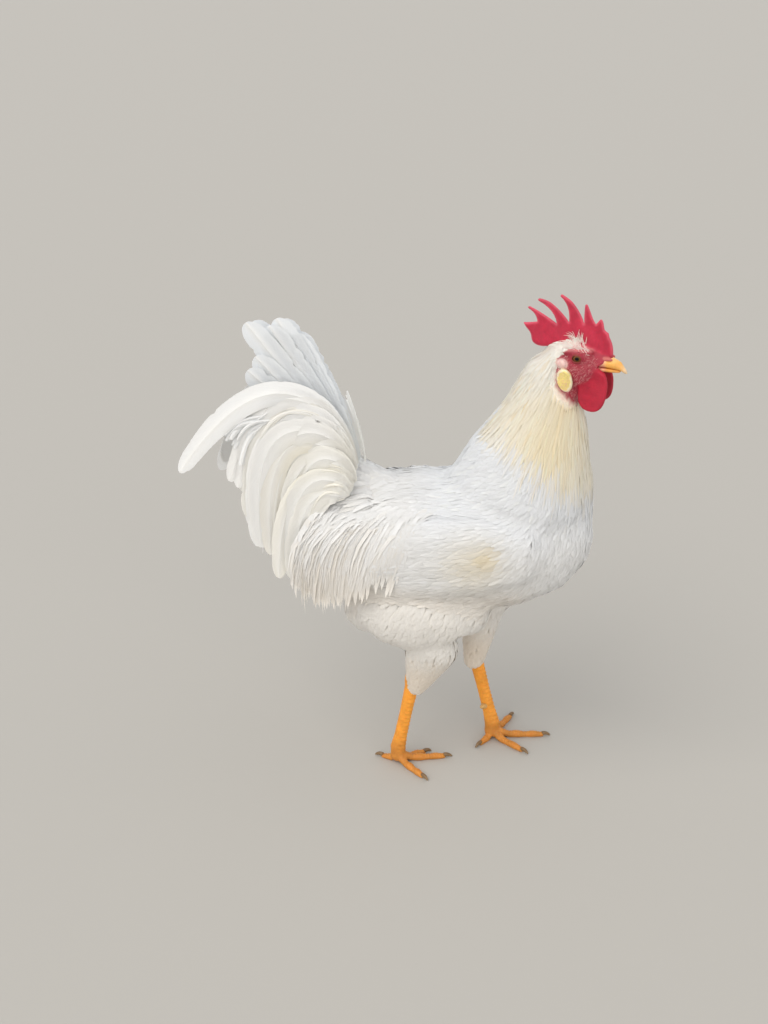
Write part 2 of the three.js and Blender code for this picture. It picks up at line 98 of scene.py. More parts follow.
def ramp(x, low, high):
    """0 at low, 1 at high, smooth in between. low may be above high."""
    t = np.clip((np.asarray(x, float) - low) / (high - low), 0, 1)
    return t * t * (3 - 2 * t)


def mix(a, b, t):
    return a + (b - a) * t


def unit(v):
    return v / np.maximum(np.linalg.norm(v, axis=-1, keepdims=True), 1e-9)


def bowed(start, corner, end, t):
    """The curve from start to end that bends toward its corner, at shares t of the way."""
    return (1 - t) ** 2 * start + 2 * t * (1 - t) * corner + t * t * end


# ---------------------------------------------------------------- meshes


def make_object(name, points, triangles, material, uvs=None, crease=None):
    """A mesh object at the origin. points in the drawing's millimetres, uvs one row a vertex."""
    mesh = bpy.data.meshes.new(name)
    points = metres(points).astype(np.float32)
    triangles = np.asarray(triangles, np.int32)
    mesh.vertices.add(len(points))
    mesh.vertices.foreach_set("co", points.ravel())
    mesh.loops.add(triangles.size)
    mesh.loops.foreach_set("vertex_index", triangles.ravel())
    mesh.polygons.add(len(triangles))
    mesh.polygons.foreach_set("loop_start", np.arange(0, triangles.size, 3, dtype=np.int32))
    mesh.update(calc_edges=True)
    for key, values in (uvs or {}).items():
        layer = mesh.uv_layers.new(name=key)
        layer.data.foreach_set("uv", np.asarray(values, np.float32)[triangles.ravel()].ravel())
    mesh.materials.append(material)
    mesh.shade_smooth()
    if crease is not None:
        mesh.set_sharp_from_angle(angle=math.radians(crease))
    made = bpy.data.objects.new(name, mesh)
    bpy.context.scene.collection.objects.link(made)
    return made


def shown(made, slot, *nodes):
    """Joins a finished piece to the still body, in place of the CAD nodes that it stands for."""
    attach(made, "root")
    if nodes:
        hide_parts(*nodes)
    return made


def read_points(mesh):
    """A mesh's points in the drawing's millimetres."""
    points = np.empty(len(mesh.vertices) * 3, np.float32)
    mesh.vertices.foreach_get("co", points)
    return drawn(points.reshape(-1, 3))


def merged(meshes):
    """Points and triangles of several meshes as one."""
    starts = np.cumsum([0] + [len(points) for points, _ in meshes])
    triangles = [rows + start for (_, rows), start in zip(meshes, starts)]
    return np.concatenate([points for points, _ in meshes]), np.concatenate(triangles)


# ---------------------------------------------------------------- fields of distance


class Field:
    """Signed distances on a regular grid, in mm, negative inside."""

    def __init__(self, low, high, pitch):
        self.pitch = pitch
        self.first = np.floor(np.array(low) / pitch).astype(int)
        counts = np.ceil(np.array(high) / pitch).astype(int) - self.first + 1
        self.low = self.first * pitch
        self.values = np.full(counts, FAR, np.float32)
        axes = [self.low[i] + pitch * np.arange(counts[i], dtype=np.float32) for i in range(3)]
        self.x, self.y, self.z = np.meshgrid(*axes, indexing="ij", sparse=True)

    def like(self, values):
        twin = Field.__new__(Field)
        twin.__dict__.update(self.__dict__)
        twin.values = np.ascontiguousarray(values, dtype=np.float32)
        return twin

    def at(self, points, values=None):
        """Values at any points, by linear interpolation."""
        values = self.values if values is None else values
        place = (np.asarray(points) - self.low) / self.pitch
        place = np.clip(place, 0, np.array(values.shape) - 1.001)
        cell = place.astype(int)
        f = place - cell
        total = 0
        for i in (0, 1):
            for j in (0, 1):
                for k in (0, 1):
                    share = (f[..., 0] if i else 1 - f[..., 0]) * (f[..., 1] if j else 1 - f[..., 1])
                    share = share * (f[..., 2] if k else 1 - f[..., 2])
                    total = total + share * values[cell[..., 0] + i, cell[..., 1] + j, cell[..., 2] + k]
        return total

    def outward(self, points):
        """Unit normals away from the form at any points."""
        if not hasattr(self, "slopes"):
            self.slopes = np.gradient(self.values, self.pitch)
        return unit(np.stack([self.at(points, s) for s in self.slopes], -1))

    def blurred(self, reach):
        """The field smoothed by a bell curve of that width, in cells."""
        values = self.values
        radius = int(math.ceil(2.5 * reach))
        weights = np.exp(-0.5 * (np.arange(-radius, radius + 1) / reach) ** 2)
        weights /= weights.sum()
        for axis in range(3):
            padded = np.pad(values, [(radius, radius) if i == axis else (0, 0) for i in range(3)], "edge")
            values = sum(
                w * np.take(padded, np.arange(i, i + values.shape[axis]), axis) for i, w in enumerate(weights)
            ).astype(np.float32)
        return self.like(values)

    def coarser(self):
        """The same form on every second cell."""
        twin = self.like(self.values[::2, ::2, ::2])
        twin.pitch = 2 * self.pitch
        return twin

    def surface(self, level=0.0):
        """Points and triangles of the surface where the field has that value, facing out."""
        grid = vdb.FloatGrid(FAR)
        grid.copyFromArray(self.values)
        points, quads = grid.convertToQuads(isovalue=level)
        points = points.astype(float) * self.pitch + self.low
        triangles = np.concatenate([quads[:, [0, 1, 2]], quads[:, [0, 2, 3]]]).astype(np.int32)
        a, b, c = (points[triangles[:, i]] for i in range(3))
        if np.einsum("ij,ij->i", a, np.cross(b, c)).sum() < 0:
            triangles = triangles[:, ::-1]
        return points, triangles


def join(a, b, blend):
    """The two forms as one, with a soft fillet of about that size where they meet."""
    h = np.clip(0.5 + 0.5 * (b - a) / blend, 0, 1)
    return mix(b, a, h) - blend * h * (1 - h)


def carve(a, b, blend):
    """The first form with the second cut away, softly."""
    return -join(-a, b, blend)


def distances(field, points, triangles):
    """Signed distance to a closed mesh on the field's grid."""
    grid = vdb.FloatGrid.createLevelSetFromPolygons(
        points.astype(np.float32),
        triangles=triangles.astype(np.uint32),
        transform=vdb.createLinearTransform(voxelSize=field.pitch),
        halfWidth=BAND,
    )
    values = np.zeros(field.values.shape, np.float32)
    grid.copyToArray(values, ijk=tuple(int(i) for i in field.first))
    return values


def node_field(field, *names):
    """Signed distance to CAD nodes on the field's grid."""
    total = np.full(field.values.shape, FAR, np.float32)
    for name in names:
        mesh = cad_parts[name].data
        mesh.calc_loop_triangles()
        points = drawn([v.co for v in mesh.vertices])
        total = np.minimum(total, distances(field, points, np.array([t.vertices for t in mesh.loop_triangles])))
    return total


def ball(f, centre, radii):
    """An ellipsoid."""
    x, y, z = f.x - centre[0], f.y - centre[1], f.z - centre[2]
    return (np.sqrt((x / radii[0]) ** 2 + (y / radii[1]) ** 2 + (z / radii[2]) ** 2) - 1) * min(radii)


def limb(f, start, end, r0, r1, squash=1.0):
    """A round cone from start to end. squash is its width along Y over its depth along X."""
    a = np.array(start, float)
    d = np.array(end, float) - a
    x, y, z = f.x - a[0], f.y - a[1], f.z - a[2]
    t = np.clip((x * d[0] + y * d[1] + z * d[2]) / (d @ d), 0, 1)
    away = np.sqrt((x - t * d[0]) ** 2 + ((y - t * d[1]) / squash) ** 2 + (z - t * d[2]) ** 2)
    return away - mix(r0, r1, t)


def inside_outline(corners, x, z):
    """Distance into a closed outline in the XZ plane, negative outside it."""
    x, z = np.broadcast_arrays(x, z)
    near = np.full(x.shape, 1e9)
    inside = np.zeros(x.shape, bool)
    for (x0, z0), (x1, z1) in zip(corners, np.roll(corners, -1, 0)):
        dx, dz = x1 - x0, z1 - z0
        t = np.clip(((x - x0) * dx + (z - z0) * dz) / max(dx * dx + dz * dz, 1e-9), 0, 1)
        near = np.minimum(near, np.hypot(x - x0 - t * dx, z - z0 - t * dz))
        crosses = (z0 > z) != (z1 > z)
        inside ^= crosses & (x < x0 + (z - z0) * dx / (dz if abs(dz) > 1e-9 else 1e-9))
    return np.where(inside, near, -near)


def curved_outline(rows, pieces=6):
    """Corners of an outline. A row of two is a corner, a row of four bends past its first point to its second."""
    corners = [np.array(rows[0], float)]
    for row in rows[1:]:
        row, start = np.array(row, float), corners[-1]
        if len(row) == 2:
            corners.append(row)
        else:
            corners += [bowed(start, row[:2], row[2:], t) for t in np.linspace(0, 1, pieces + 1)[1:]]
    return np.array(corners)


def smooth_loft(f, rows, ends, reach=3.0, margin=20, window=12):
    """A form along X through its stations, rounded off at its two ends over that many mm.

    A station is [x, height of its centre, half width, half height]. They are read off evenly, some way past both
    ends, and rounded over the reach, so that no crease shows between them.
    """
    rows = np.array(rows, float)
    x = np.linspace(rows[0, 0] - margin, rows[-1, 0] + margin, 200)
    kernel = np.exp(-0.5 * (np.arange(-window, window + 1) * (x[1] - x[0]) / reach) ** 2)
    kernel /= kernel.sum()
    read = [np.interp(x, rows[:, 0], rows[:, i]) for i in (1, 2, 3)]
    centre, wide, high = (np.interp(f.x, x, np.convolve(np.pad(r, window, "edge"), kernel, "valid")) for r in read)
    past = np.maximum(rows[0, 0] + ends[0] - f.x, 0) / ends[0] + np.maximum(f.x - rows[-1, 0] + ends[1], 0) / ends[1]
    q = np.sqrt((f.y / wide) ** 2 + ((f.z - centre) / high) ** 2 + past**2)
    return (q - 1) * np.minimum(wide, high)


# ---------------------------------------------------------------- the head's skin

# Stations of the skull, and outlines of comb and wattle seen from the side.
SKULL = [
    [-16, 488, 13, 13], [-4, 486, 17.0, 18.4], [10, 487, 17.2, 19.8],
    [22, 488, 14.6, 17.6], [33, 488, 11.2, 13.8], [44, 487.8, 8.0, 9.6], [50, 488, 6, 7],
]
COMB = [
    [50, 495], [50.5, 508, 45.3, 515.5], [43.7, 520.5], [41.5, 521, 39.4, 523.5], [38.4, 528],
    [37.6, 532.6, 35.2, 533.5], [33.6, 532.5, 30.6, 527.6], [28.8, 529, 26.1, 534.5], [23.5, 540.5, 20.8, 545.8],
    [19.3, 547.4, 18.1, 545.5], [17.4, 539, 18.3, 526.4], [15.2, 536.3, 5, 547], [1, 550, -5.2, 553.2],
    [-7.8, 553.6, -7.4, 551], [3.2, 543.6, 2.9, 525.8], [-5.2, 535.9, -16, 543.2], [-21, 546, -28, 546.6],
    [-30.8, 546, -29.5, 544], [-12.4, 536.7, -9.6, 522.6], [-23.7, 531.4, -37.6, 537.1], [-40.6, 537, -39.5, 534.8],
    [-30.5, 530.5, -29.6, 522], [-33, 520.8, -43.9, 519.2], [-42.5, 515.5, -37.6, 511], [-35.5, 508, -35, 504],
    [-34, 496.8, -24, 496.6], [-16, 496.8, -8, 502], [4, 486], [40, 484],
]
WATTLE = [
    [25, 480], [19, 468, 19.6, 456], [20.5, 441, 32, 440.6], [43, 440, 47, 449], [49.5, 456, 49.4, 464],
    [50, 474, 45, 481], [36, 486],
]
LOBE = (7.6, 20.2, 472.0)
LOBE_WIDE, LOBE_HIGH = 7.9, 12.2  # half its sizes
LOBE_TILT = -16
EAR_PATCH = (3.0, 18.4, 488.0)
NOSTRIL = (47.8, 7.2, 492.9)
NOSTRIL_SIZE = (3.0, 2.6, 0.8)


def on_side(place, side):
    """A place on the head's left half, or its mirror image on the right."""
    return place[0], side * place[1], place[2]


def lobe_place(f, side):
    """Place across and along the earlobe as shares of its half sizes, and out from its middle plane in mm."""
    c, s = heading(LOBE_TILT)
    x, z = f.x - LOBE[0], f.z - LOBE[2]
    return (c * x - s * z) / LOBE_WIDE, (s * x + c * z) / LOBE_HIGH, f.y * side - LOBE[1]


def head_forms(f):
    """The parts of the head's skin as fields in the head's own frame."""
    forms = {}
    skull = smooth_loft(f, SKULL, (14, 9))
    skull = join(skull, limb(f, (30, 0, 479), (8, 0, 452), 9.5, 11), 8)
    depth = inside_outline(curved_outline(COMB), f.x, f.z)
    half = mix(3.7, 1.25, ramp(f.z, 495, 527)) + 0.35 * np.sin(f.x * 0.21 + f.z * 0.13)
    half = half + 0.3 * np.sin(f.x * 0.85 - f.z * 0.3 + 1.5 * np.sin(f.z * 0.16)) * ramp(f.z, 532, 508)
    lean = 1.2 * np.sin((f.x + 20) * 0.05) * ramp(f.z, 505, 545)
    q = np.clip(1 - depth / (1.6 * half), 0, None)
    forms["comb"] = (np.sqrt(q**2 + ((f.y - lean) / half) ** 2) - 1) * half
    depth = inside_outline(curved_outline(WATTLE), f.x, f.z)
    eye_off = np.sqrt((f.x - EYE[0]) ** 2 + (f.z - EYE[2]) ** 2)
    for name, side in SIDES.items():
        y = f.y * side
        skull = join(skull, ball(f, (15, side * 10.5, 478), (14, 6, 10)), 6)
        skull = join(skull, limb(f, (5, side * 14.6, 500.5), (29, side * 8.6, 500.5), 3.0, 2.2), 4)
        skull = join(skull, ball(f, on_side(EYE, side), (7.3, 7.4, 6.7)), 2.0)
        skull = skull - 0.3 * np.exp(-(((eye_off - 4.6) / 0.7) ** 2)) * (y > 6)
        skull = skull + 0.4 * np.exp(-(((eye_off - 6.3) / 0.6) ** 2)) * (y > 6)
        skull = join(skull, limb(f, (29, side * 8.6, 485.6), (41, side * 6.2, 486.8), 2.0, 1.2), 2.5)
        forms["flap_" + name] = ball(f, (46.0, side * 5.0, 494.8), (5.0, 2.0, 2.2))
        swing = 8.2 + (486 - f.z) * math.tan(math.radians(8.5)) + 1.3 * np.sin(f.x * 0.16 + 1) * ramp(f.z, 476, 448)
        half = 1.55 + 1.2 * ramp(f.z, 470, 484) + 0.35 * ramp(depth, 5, 0.5)
        q = np.clip(1 - depth / (1.3 * half), 0, None)
        forms["wattle_" + name] = (np.sqrt(q**2 + ((y - swing) / half) ** 2) - 1) * half
        u, w, out = lobe_place(f, side)
        e = np.sqrt(u * u + w * w)
        creases = 0.16 * np.sin((u * LOBE_WIDE + w * LOBE_HIGH) * 1.9 + 1.3 * np.sin(w * 4)) * ramp(e, 0.9, 0.5)
        half = 2.2 + 0.75 * np.exp(-(((e - 0.86) / 0.1) ** 2)) + creases
        forms["lobe_" + name] = (np.sqrt(np.clip((e - 0.72) / 0.28, 0, None) ** 2 + (out / half) ** 2) - 1) * 1.9
        forms["ear_" + name] = ball(f, on_side(EAR_PATCH, side), (4.7, 2.6, 4.6))
    folds = np.sin(f.z * 1.15 + f.x * 0.35 + 1.4 * np.sin(f.x * 0.31)) * np.sin(f.x * 0.42 + f.z * 0.1)
    bare = ramp(f.x, 4, 14) * ramp(f.x, 40, 32) * ramp(f.z, 493, 486)
    gape = np.maximum(f.x - 37.5 - 1.45 * np.maximum(f.z - 487, 0), f.x - 50) / 1.75
    forms["skull"] = carve(skull - 0.22 * folds * bare, -gape, 1.2)
    forms["neck"] = limb(f, (-3, 0, 486), (-16, 0, 440), 13, 17)
    return forms


def head_form(f, forms):
    """The head as one field, with the eyes' openings, the nostrils and the mouth's line cut in."""
    form = join(forms["skull"], forms["neck"], 8)
    form = join(form, forms["comb"], 3.0)
    for name, side in SIDES.items():
        for part, blend in (("wattle_", 2.2), ("flap_", 1.2), ("ear_", 1.4), ("lobe_", 0.7)):
            form = join(form, forms[part + name], blend)
        opening = ball(f, (EYE[0] + 0.2, side * (EYE[1] + 6), EYE[2] - 0.2), (4.4, 6.2, 3.2))
        form = carve(form, opening, 0.6)
        form = np.maximum(form, -ball(f, on_side(EYE, side), (EYE_RADIUS - 0.1,) * 3))
        form = carve(form, ball(f, on_side(NOSTRIL, side), NOSTRIL_SIZE), 0.4)
    mouth = limb(f, (36.5, 0, 486.2), (70, 0, 484.6), 0.4, 0.4, 30)
    return carve(form, mouth, 0.5)


# ---------------------------------------------------------------- the legs' skin

# Toes as [direction in degrees, length, radius, pads, height of the root].
TOES_RIGHT = [[165, 18, 4.2, 1, 13], [33, 32, 4.6, 2, 9], [15, 52, 4.6, 3, 9], [-41, 40, 4.6, 3, 9]]
TOES_LEFT = [[-122, 21, 4.2, 1, 13], [-34, 43, 4.6, 2, 9], [9, 58, 4.6, 3, 9], [65, 43, 4.6, 3, 9]]
LEGS = [((-32, -38, 116), FOOT_RIGHT, TOES_RIGHT), ((30, 26, 112), FOOT_LEFT, TOES_LEFT)]
SHANK = 98  # its length
SCUTE = 5.4  # from one scute on the shank to the next
RING = 3.3  # from one ring scale on a toe to the next


def scale_step(place, height):
    """A saw of overlapping scales: each rises over its length and drops at its free edge."""
    phase = place - np.floor(place)
    return height * (phase * ramp(phase, 1.0, 0.86) - 0.35)


def toe_form(f, foot, toe):
    """One toe, swollen at its pads, with ring scales along its top."""
    direction, length, radius, pads, rise = toe
    c, s = heading(direction)
    x, y = f.x - foot[0], f.y - foot[1]
    u, v = c * x + s * y, -s * x + c * y
    share = np.clip(u / length, 0, 1)
    r = radius * mix(1, 0.7, share) * (1 - 0.09 * np.cos(2 * np.pi * pads * share))
    w = f.z - mix(rise, 0.78 * r, ramp(share, 0, 0.42))
    over = np.clip(u, 0, length)
    scales = scale_step(u / RING, 0.75) * ramp(w / r, 0.0, 0.5) * ramp(u, 5, 9)
    return np.sqrt((u - over) ** 2 + v**2 + w**2) - r - scales


def leg_form(f, top, foot, toes):
    """Shank, scutes, toes and pads of one leg, with a flat sole at the floor."""
    base = np.array([foot[0], foot[1], 20.0])
    start = np.array(top, float)
    d = base - start
    x, y, z = f.x - start[0], f.y - start[1], f.z - start[2]
    t = np.clip((x * d[0] + y * d[1] + z * d[2]) / (d @ d), -0.2, 1)  # share of the way down the shank
    forward, across = x - t * d[0], (y - t * d[1]) / 0.78
    r = np.interp(t, [-0.2, 0, 0.14, 0.5, 0.82, 1], [7.6, 8.6, 7.4, 6.7, 7.0, 8.4])
    lengthwise = np.where((t <= -0.2) | (t >= 1), z - t * d[2], 0)
    away = np.sqrt(forward**2 + across**2 + lengthwise**2)
    front = forward / np.maximum(away, 1)
    down = t * SHANK
    row = down / SCUTE + 0.5 * (across > 0)
    seam = 0.5 * np.exp(-((across / 0.8) ** 2)) * ramp(front, 0.3, 0.8)
    plates = scale_step(row, 0.95) * ramp(front, -0.1, 0.15) - seam
    small = 0.3 * np.cos(down * 2.3 + across * 1.2) * np.cos(down * 1.1 - across * 2.4) * ramp(front, 0.1, -0.1)
    form = away - r - plates - small
    form = join(form, ball(f, (foot[0], foot[1], 10), (8.6, 7.4, 9.2)), 4)
    for toe in toes:
        form = join(form, toe_form(f, foot, toe), 2.2)
    form = join(form, limb(f, start + (1, 0, 4), start - (0, 0, 4), 7.8, 7.8, 0.85), 5)
    return np.maximum(form, -f.z)


# ---------------------------------------------------------------- forms of the body

body = Field((-200, -96, 92), (160, 96, 512), BODY_PITCH)
GROUPS = {
    "neck": ["neck", "head"],
    "trunk": ["trunk"],
    "wing": ["wing_right", "wing_left"],
    "thigh": ["thigh_right", "thigh_left"],
    "drum": ["drumstick_right", "drumstick_left"],
    "saddle": ["saddle"],
    "rump": ["tail_base"],
    "vent": ["undertail"],
}
group_fields = {name: node_field(body, *nodes) for name, nodes in GROUPS.items()}


def made_whole(field, gap):
    """The field of the outer surface alone, gaps up to twice that width closed."""
    return field.like(distances(field, *field.surface(gap)) + gap)


body.values = np.minimum.reduce([field for name, field in group_fields.items() if name != "drum"])
for form in (
    limb(body, (-12, -44, 160), (-30, -38, 102), 31, 13, 0.72),  # right drumstick in its feathers
    limb(body, (37, 34, 174), (29, 26, 101), 26, 12.5, 0.9),  # left drumstick
    ball(body, (-84, -22, 200), (28, 30, 34)),  # fluff behind the thighs
    ball(body, (-84, 22, 200), (28, 30, 34)),
    ball(body, (-74, 0, 222), (36, 52, 42)),
    limb(body, (119, 0, 354), (121, 0, 298), 30.5, 31.5),  # fullness of the breast
):
    body.values = np.minimum(body.values, form).astype(np.float32)
coat = made_whole(body, 4.0).blurred(1.35)  # the outer form that the feathers' tips lie on


def coat_depth(z):
    """How thick the coat lies on the skin: thin at the hocks and the head, thickest on the neck."""
    trunk = mix(3.8, 1.6, ramp(z, 150, 112))
    return mix(mix(trunk, 5.0, ramp(z, 330, 400)), 1.6, ramp(z, 425, 448))


skin_body = coat.like(coat.values + coat_depth(coat.z))


def made_by_joining(forms):
    """One closed mesh from several overlapping ones, given as (points, triangles)."""
    made = [make_object("form", points, triangles, None) for points, triangles in forms]
    whole = made[0]
    for other in made[1:]:
        union = whole.modifiers.new("join", "BOOLEAN")
        union.operation, union.solver, union.object = "UNION", "MANIFOLD", other
    thin = whole.modifiers.new("thin", "DECIMATE")
    thin.ratio = SKIN_TRIANGLES / sum(len(triangles) for _, triangles in forms)
    mesh = bpy.data.meshes.new_from_object(whole.evaluated_get(bpy.context.evaluated_depsgraph_get()))
    for each in made:
        bpy.data.objects.remove(each)
    mesh.calc_loop_triangles()
    triangles = np.empty(len(mesh.loop_triangles) * 3, np.int32)
    mesh.loop_triangles.foreach_get("vertices", triangles)
    return read_points(mesh), triangles.reshape(-1, 3)


# ---------------------------------------------------------------- materials


def colour(code):
    """An sRGB hex code as the linear colour that a shader takes."""
    parts = [int(code[i : i + 2], 16) / 255 for i in (1, 3, 5)]
    return (*[p / 12.92 if p <= 0.04045 else ((p + 0.055) / 1.055) ** 2.4 for p in parts], 1.0)


def add(tree, kind, settings=None, **inputs):
    """Adds a node. Its inputs are named with _ for a space, or _ and a number.

    They take a value, another node's output, or another node, which stands for its first output.
    """
    made = tree.nodes.new(kind)
    for key, value in (settings or {}).items():
        setattr(made, key, value)
    for key, value in inputs.items():
        socket = made.inputs[int(key[1:])] if key[0] == "_" else made.inputs[key.replace("_", " ")]
        if isinstance(value, bpy.types.Node):
            value = value.outputs[0]
        if isinstance(value, bpy.types.NodeSocket):
            tree.links.new(value, socket)
        else:
            socket.default_value = value
    return made


def material(name):
    made = bpy.data.materials.new(name)
    made.use_nodes = True
    made.node_tree.nodes.clear()
    return made, made.node_tree


def finish_material(tree, **inputs):
    add(tree, "ShaderNodeOutputMaterial", Surface=add(tree, "ShaderNodeBsdfPrincipled", **inputs))


def reading(tree, name):
    """The colour that is held on the mesh under that name."""
    return add(tree, "ShaderNodeAttribute", {"attribute_name": name}).outputs["Color"]


def bare_skin():
    """Comb, wattles, face, lobes and scaled legs: moist living skin, its colour held on the mesh.

    Fine grain and pores break up the highlights, and light soaks in a little so that thin rims glow.
    """
    made, tree = material("living_skin")
    place = add(tree, "ShaderNodeTexCoord").outputs["Object"]
    pores = add(tree, "ShaderNodeTexVoronoi", Vector=place, Scale=1100.0)  # about 1 mm apart
    grain = add(tree, "ShaderNodeTexNoise", Vector=place, Scale=420.0, Detail=4.0, Roughness=0.6)
    blotch = add(tree, "ShaderNodeTexNoise", Vector=place, Scale=95.0, Detail=3.0)  # about 10 mm across
    shade = add(tree, "ShaderNodeMapRange", Value=blotch, From_Min=0.3, From_Max=0.7, To_Min=0.84, To_Max=1.1)
    fine = add(tree, "ShaderNodeMapRange", Value=grain, From_Min=0.3, From_Max=0.7, To_Min=0.93, To_Max=1.06)
    both = add(tree, "ShaderNodeMath", {"operation": "MULTIPLY"}, _0=shade, _1=fine)
    shaded = add(tree, "ShaderNodeVectorMath", {"operation": "SCALE"}, _0=reading(tree, "skin_colour"), Scale=both)
    depth = add(tree, "ShaderNodeMath", {"operation": "MULTIPLY"}, _0=pores, _1=0.7)
    relief = add(tree, "ShaderNodeMath", {"operation": "ADD"}, _0=depth, _1=grain)
    bump = add(tree, "ShaderNodeBump", Strength=0.6, Distance=0.0005, Height=relief)
    rough = add(tree, "ShaderNodeMapRange", Value=grain, To_Min=0.42, To_Max=0.62)
    finish_material(
        tree,
        Base_Color=shaded,
        Roughness=rough,
        Normal=bump,
        IOR=1.4,
        Subsurface_Weight=0.15,
        Subsurface_Radius=(0.004, 0.0012, 0.0008),
        Subsurface_Scale=1.0,
    )
    return made


def horn(name, polish):
    """Beak, claw and spur horn: hard keratin with fine growth lines along it, paler where it is worn.

    The lines dull the sheen in bands, and the smoother horn between them gives the soft highlight.
    """
    made, tree = material(name)
    place = add(tree, "ShaderNodeTexCoord").outputs["Object"]
    lines = add(tree, "ShaderNodeTexNoise", Vector=place, Scale=900.0, Detail=2.0)
    cloud = add(tree, "ShaderNodeTexNoise", Vector=place, Scale=180.0, Detail=3.0)
    worn = add(tree, "ShaderNodeMapRange", Value=cloud, From_Min=0.35, From_Max=0.65, To_Min=0.86, To_Max=1.08)
    shaded = add(tree, "ShaderNodeVectorMath", {"operation": "SCALE"}, _0=reading(tree, "horn_colour"), Scale=worn)
    bump = add(tree, "ShaderNodeBump", Strength=0.2, Distance=0.0002, Height=lines)
    rough = add(tree, "ShaderNodeMapRange", Value=lines, To_Min=polish, To_Max=polish + 0.15)
    finish_material(
        tree,
        Base_Color=shaded,
        Roughness=rough,
        Normal=bump,
        IOR=1.54,
        Subsurface_Weight=0.1,
        Subsurface_Radius=(0.002, 0.0012, 0.0006),
        Subsurface_Scale=1.0,
    )
    return made


def paint(made, name, colours):
    """Writes one linear colour a vertex."""
    layer = made.data.color_attributes.new(name, "FLOAT_COLOR", "POINT")
    rows = np.concatenate([colours[:, :3], np.ones((len(colours), 1))], 1)
    layer.data.foreach_set("color", rows.astype(np.float32).ravel())


def shade_of(points, codes_and_shares):
    """A colour a point, each next code laid over the last by its share at each point."""
    rows = np.zeros((len(points), 3))
    for code, share in codes_and_shares:
        rows = mix(rows, np.array(colour(code)[:3]), np.broadcast_to(share, len(points))[:, None])
    return rows


# ---------------------------------------------------------------- camera, floor and light


def aimed(made, place, target):
    """Places a camera or light and turns it to its target."""
    made.location = place
    made.rotation_euler = (Vector(target) - Vector(place)).to_track_quat("-Z", "Y").to_euler()
    bpy.context.scene.collection.objects.link(made)
    return made


def studio():
    """Camera, pale floor and two broad soft lights: one high like an overcast sky, one low from the front."""
    scene = bpy.context.scene
    camera = bpy.data.cameras.new("camera")
    camera.lens, camera.sensor_width, camera.clip_end = 54.35, 36, 50
    place = Vector((0.1344 + MIDDLE / 1000, -1.4574, 1.069))
    turn, down = math.radians(8), math.radians(27.6)
    ahead = Vector((-math.sin(turn) * math.cos(down), math.cos(turn) * math.cos(down), -math.sin(down)))
    scene.camera = aimed(bpy.data.objects.new("camera", camera), place, place + ahead)
    side = 30.0
    mesh = bpy.data.meshes.new("floor")
    mesh.from_pydata([(-side, -side, 0), (side, -side, 0), (side, side, 0), (-side, side, 0)], [], [(0, 1, 2, 3)])
    floor = bpy.data.objects.new("floor", mesh)
    scene.collection.objects.link(floor)
    made, tree = material("pale_studio_floor")
    finish_material(tree, Base_Color=colour("#B2AFA9"), Roughness=0.85)
    mesh.materials.append(made)
    world = bpy.data.worlds.new("studio")
    scene.world = world
    world.use_nodes = True
    world.node_tree.nodes["Background"].inputs["Color"].default_value = colour("#F2F3F5")
    world.node_tree.nodes["Background"].inputs["Strength"].default_value = 0.93
    for name, wide, power, tone, place in (
        ("overcast_sky", 45, 1.15, "#FFFAF2", (-2.0, -2.2, 4.2)),
        ("low_fill", 90, 1.42, "#FFF6EA", (0.5, -3.0, 0.45)),
    ):
        sun = bpy.data.lights.new(name, "SUN")
        sun.angle, sun.energy, sun.color = math.radians(wide), power, colour(tone)[:3]
        aimed(bpy.data.objects.new(name, sun), place, (0, 0, 0.2))
    scene.view_settings.view_transform = "Standard"


def hackle_edge(x):
    """How low the hackle reaches at each place along the body."""
    return np.interp(x, [-20, 10, 46, 82, 112, 140, 180], [398, 395, 398, 380, 356, 338, 334])


def soft_patch(x, z, middle, reach):
    """1 in the middle of an oval patch on the bird's side, fading to 0 round it."""
    return np.exp(-(((x - middle[0]) / reach[0]) ** 2) - ((z - middle[1]) / reach[1]) ** 2)


def plumage(p, kind):
    """The coat's colour at a point: white, painted cooler on top for the sky's light, with cream neck, beige stain
    and painted warm shade underneath.
    """
    x, y, z = p.T
    flank = ramp(np.abs(y), 45, 60)
    stain = soft_patch(x, z, (28, 284), (30, 30)) * flank
    spot = soft_patch(x, z, (40, 293), (11, 13)) * flank
    # low: painted warm shade on the underside, standing for light bounced up from the floor
    low = ramp(z, 262, 225) * ramp(x, 110, 60)
    neck_gold = soft_patch(x, z, (104, 398), (34, 46))
    shares = [
        ("#F4F4F3", 1.0),
        # painted sky light: the upper body a cooler white, as lit from the sky above
        ("#F0F3F7", 0.8 * ramp(z, 270, 330) * ramp(x, -60, 0)),
        ("#EFE5CE", 0.7 * stain),
        ("#EBD7A8", 0.55 * spot),
        # painted warm shade on the underside
        ("#F0E8DC", 0.7 * low),
    ]
    if kind == "hackle":
        cream = ramp(z - hackle_edge(x), -16, 12)
        shares += [("#F8F1E0", cream), ("#F8E7BE", 0.8 * neck_gold * cream), ("#F6F3EB", 0.8 * ramp(z, 430, 480))]
    if kind == "saddle":
        shares += [("#F0EAE0", 0.6 * ramp(z, 290, 240))]
    if kind == "tail":
        yellowed = soft_patch(x, z, (-140, 366), (26, 22))
        shares += [("#F1ECDA", 0.7 * ramp(x, -200, -150) * ramp(z, 420, 390)), ("#EDE3BE", 0.45 * yellowed)]
    if kind == "leg":
        shares += [("#F3F0EA", 0.7), ("#F1E3D0", 0.8 * ramp(z, 160, 118))]
    return shade_of(p, shares)


# ---------------------------------------------------------------- the skin

head = Field((-50, -30, 425), (60, 30, 556), HEAD_PITCH)
head_parts = head_forms(head)
head = head.like(head_form(head, head_parts))

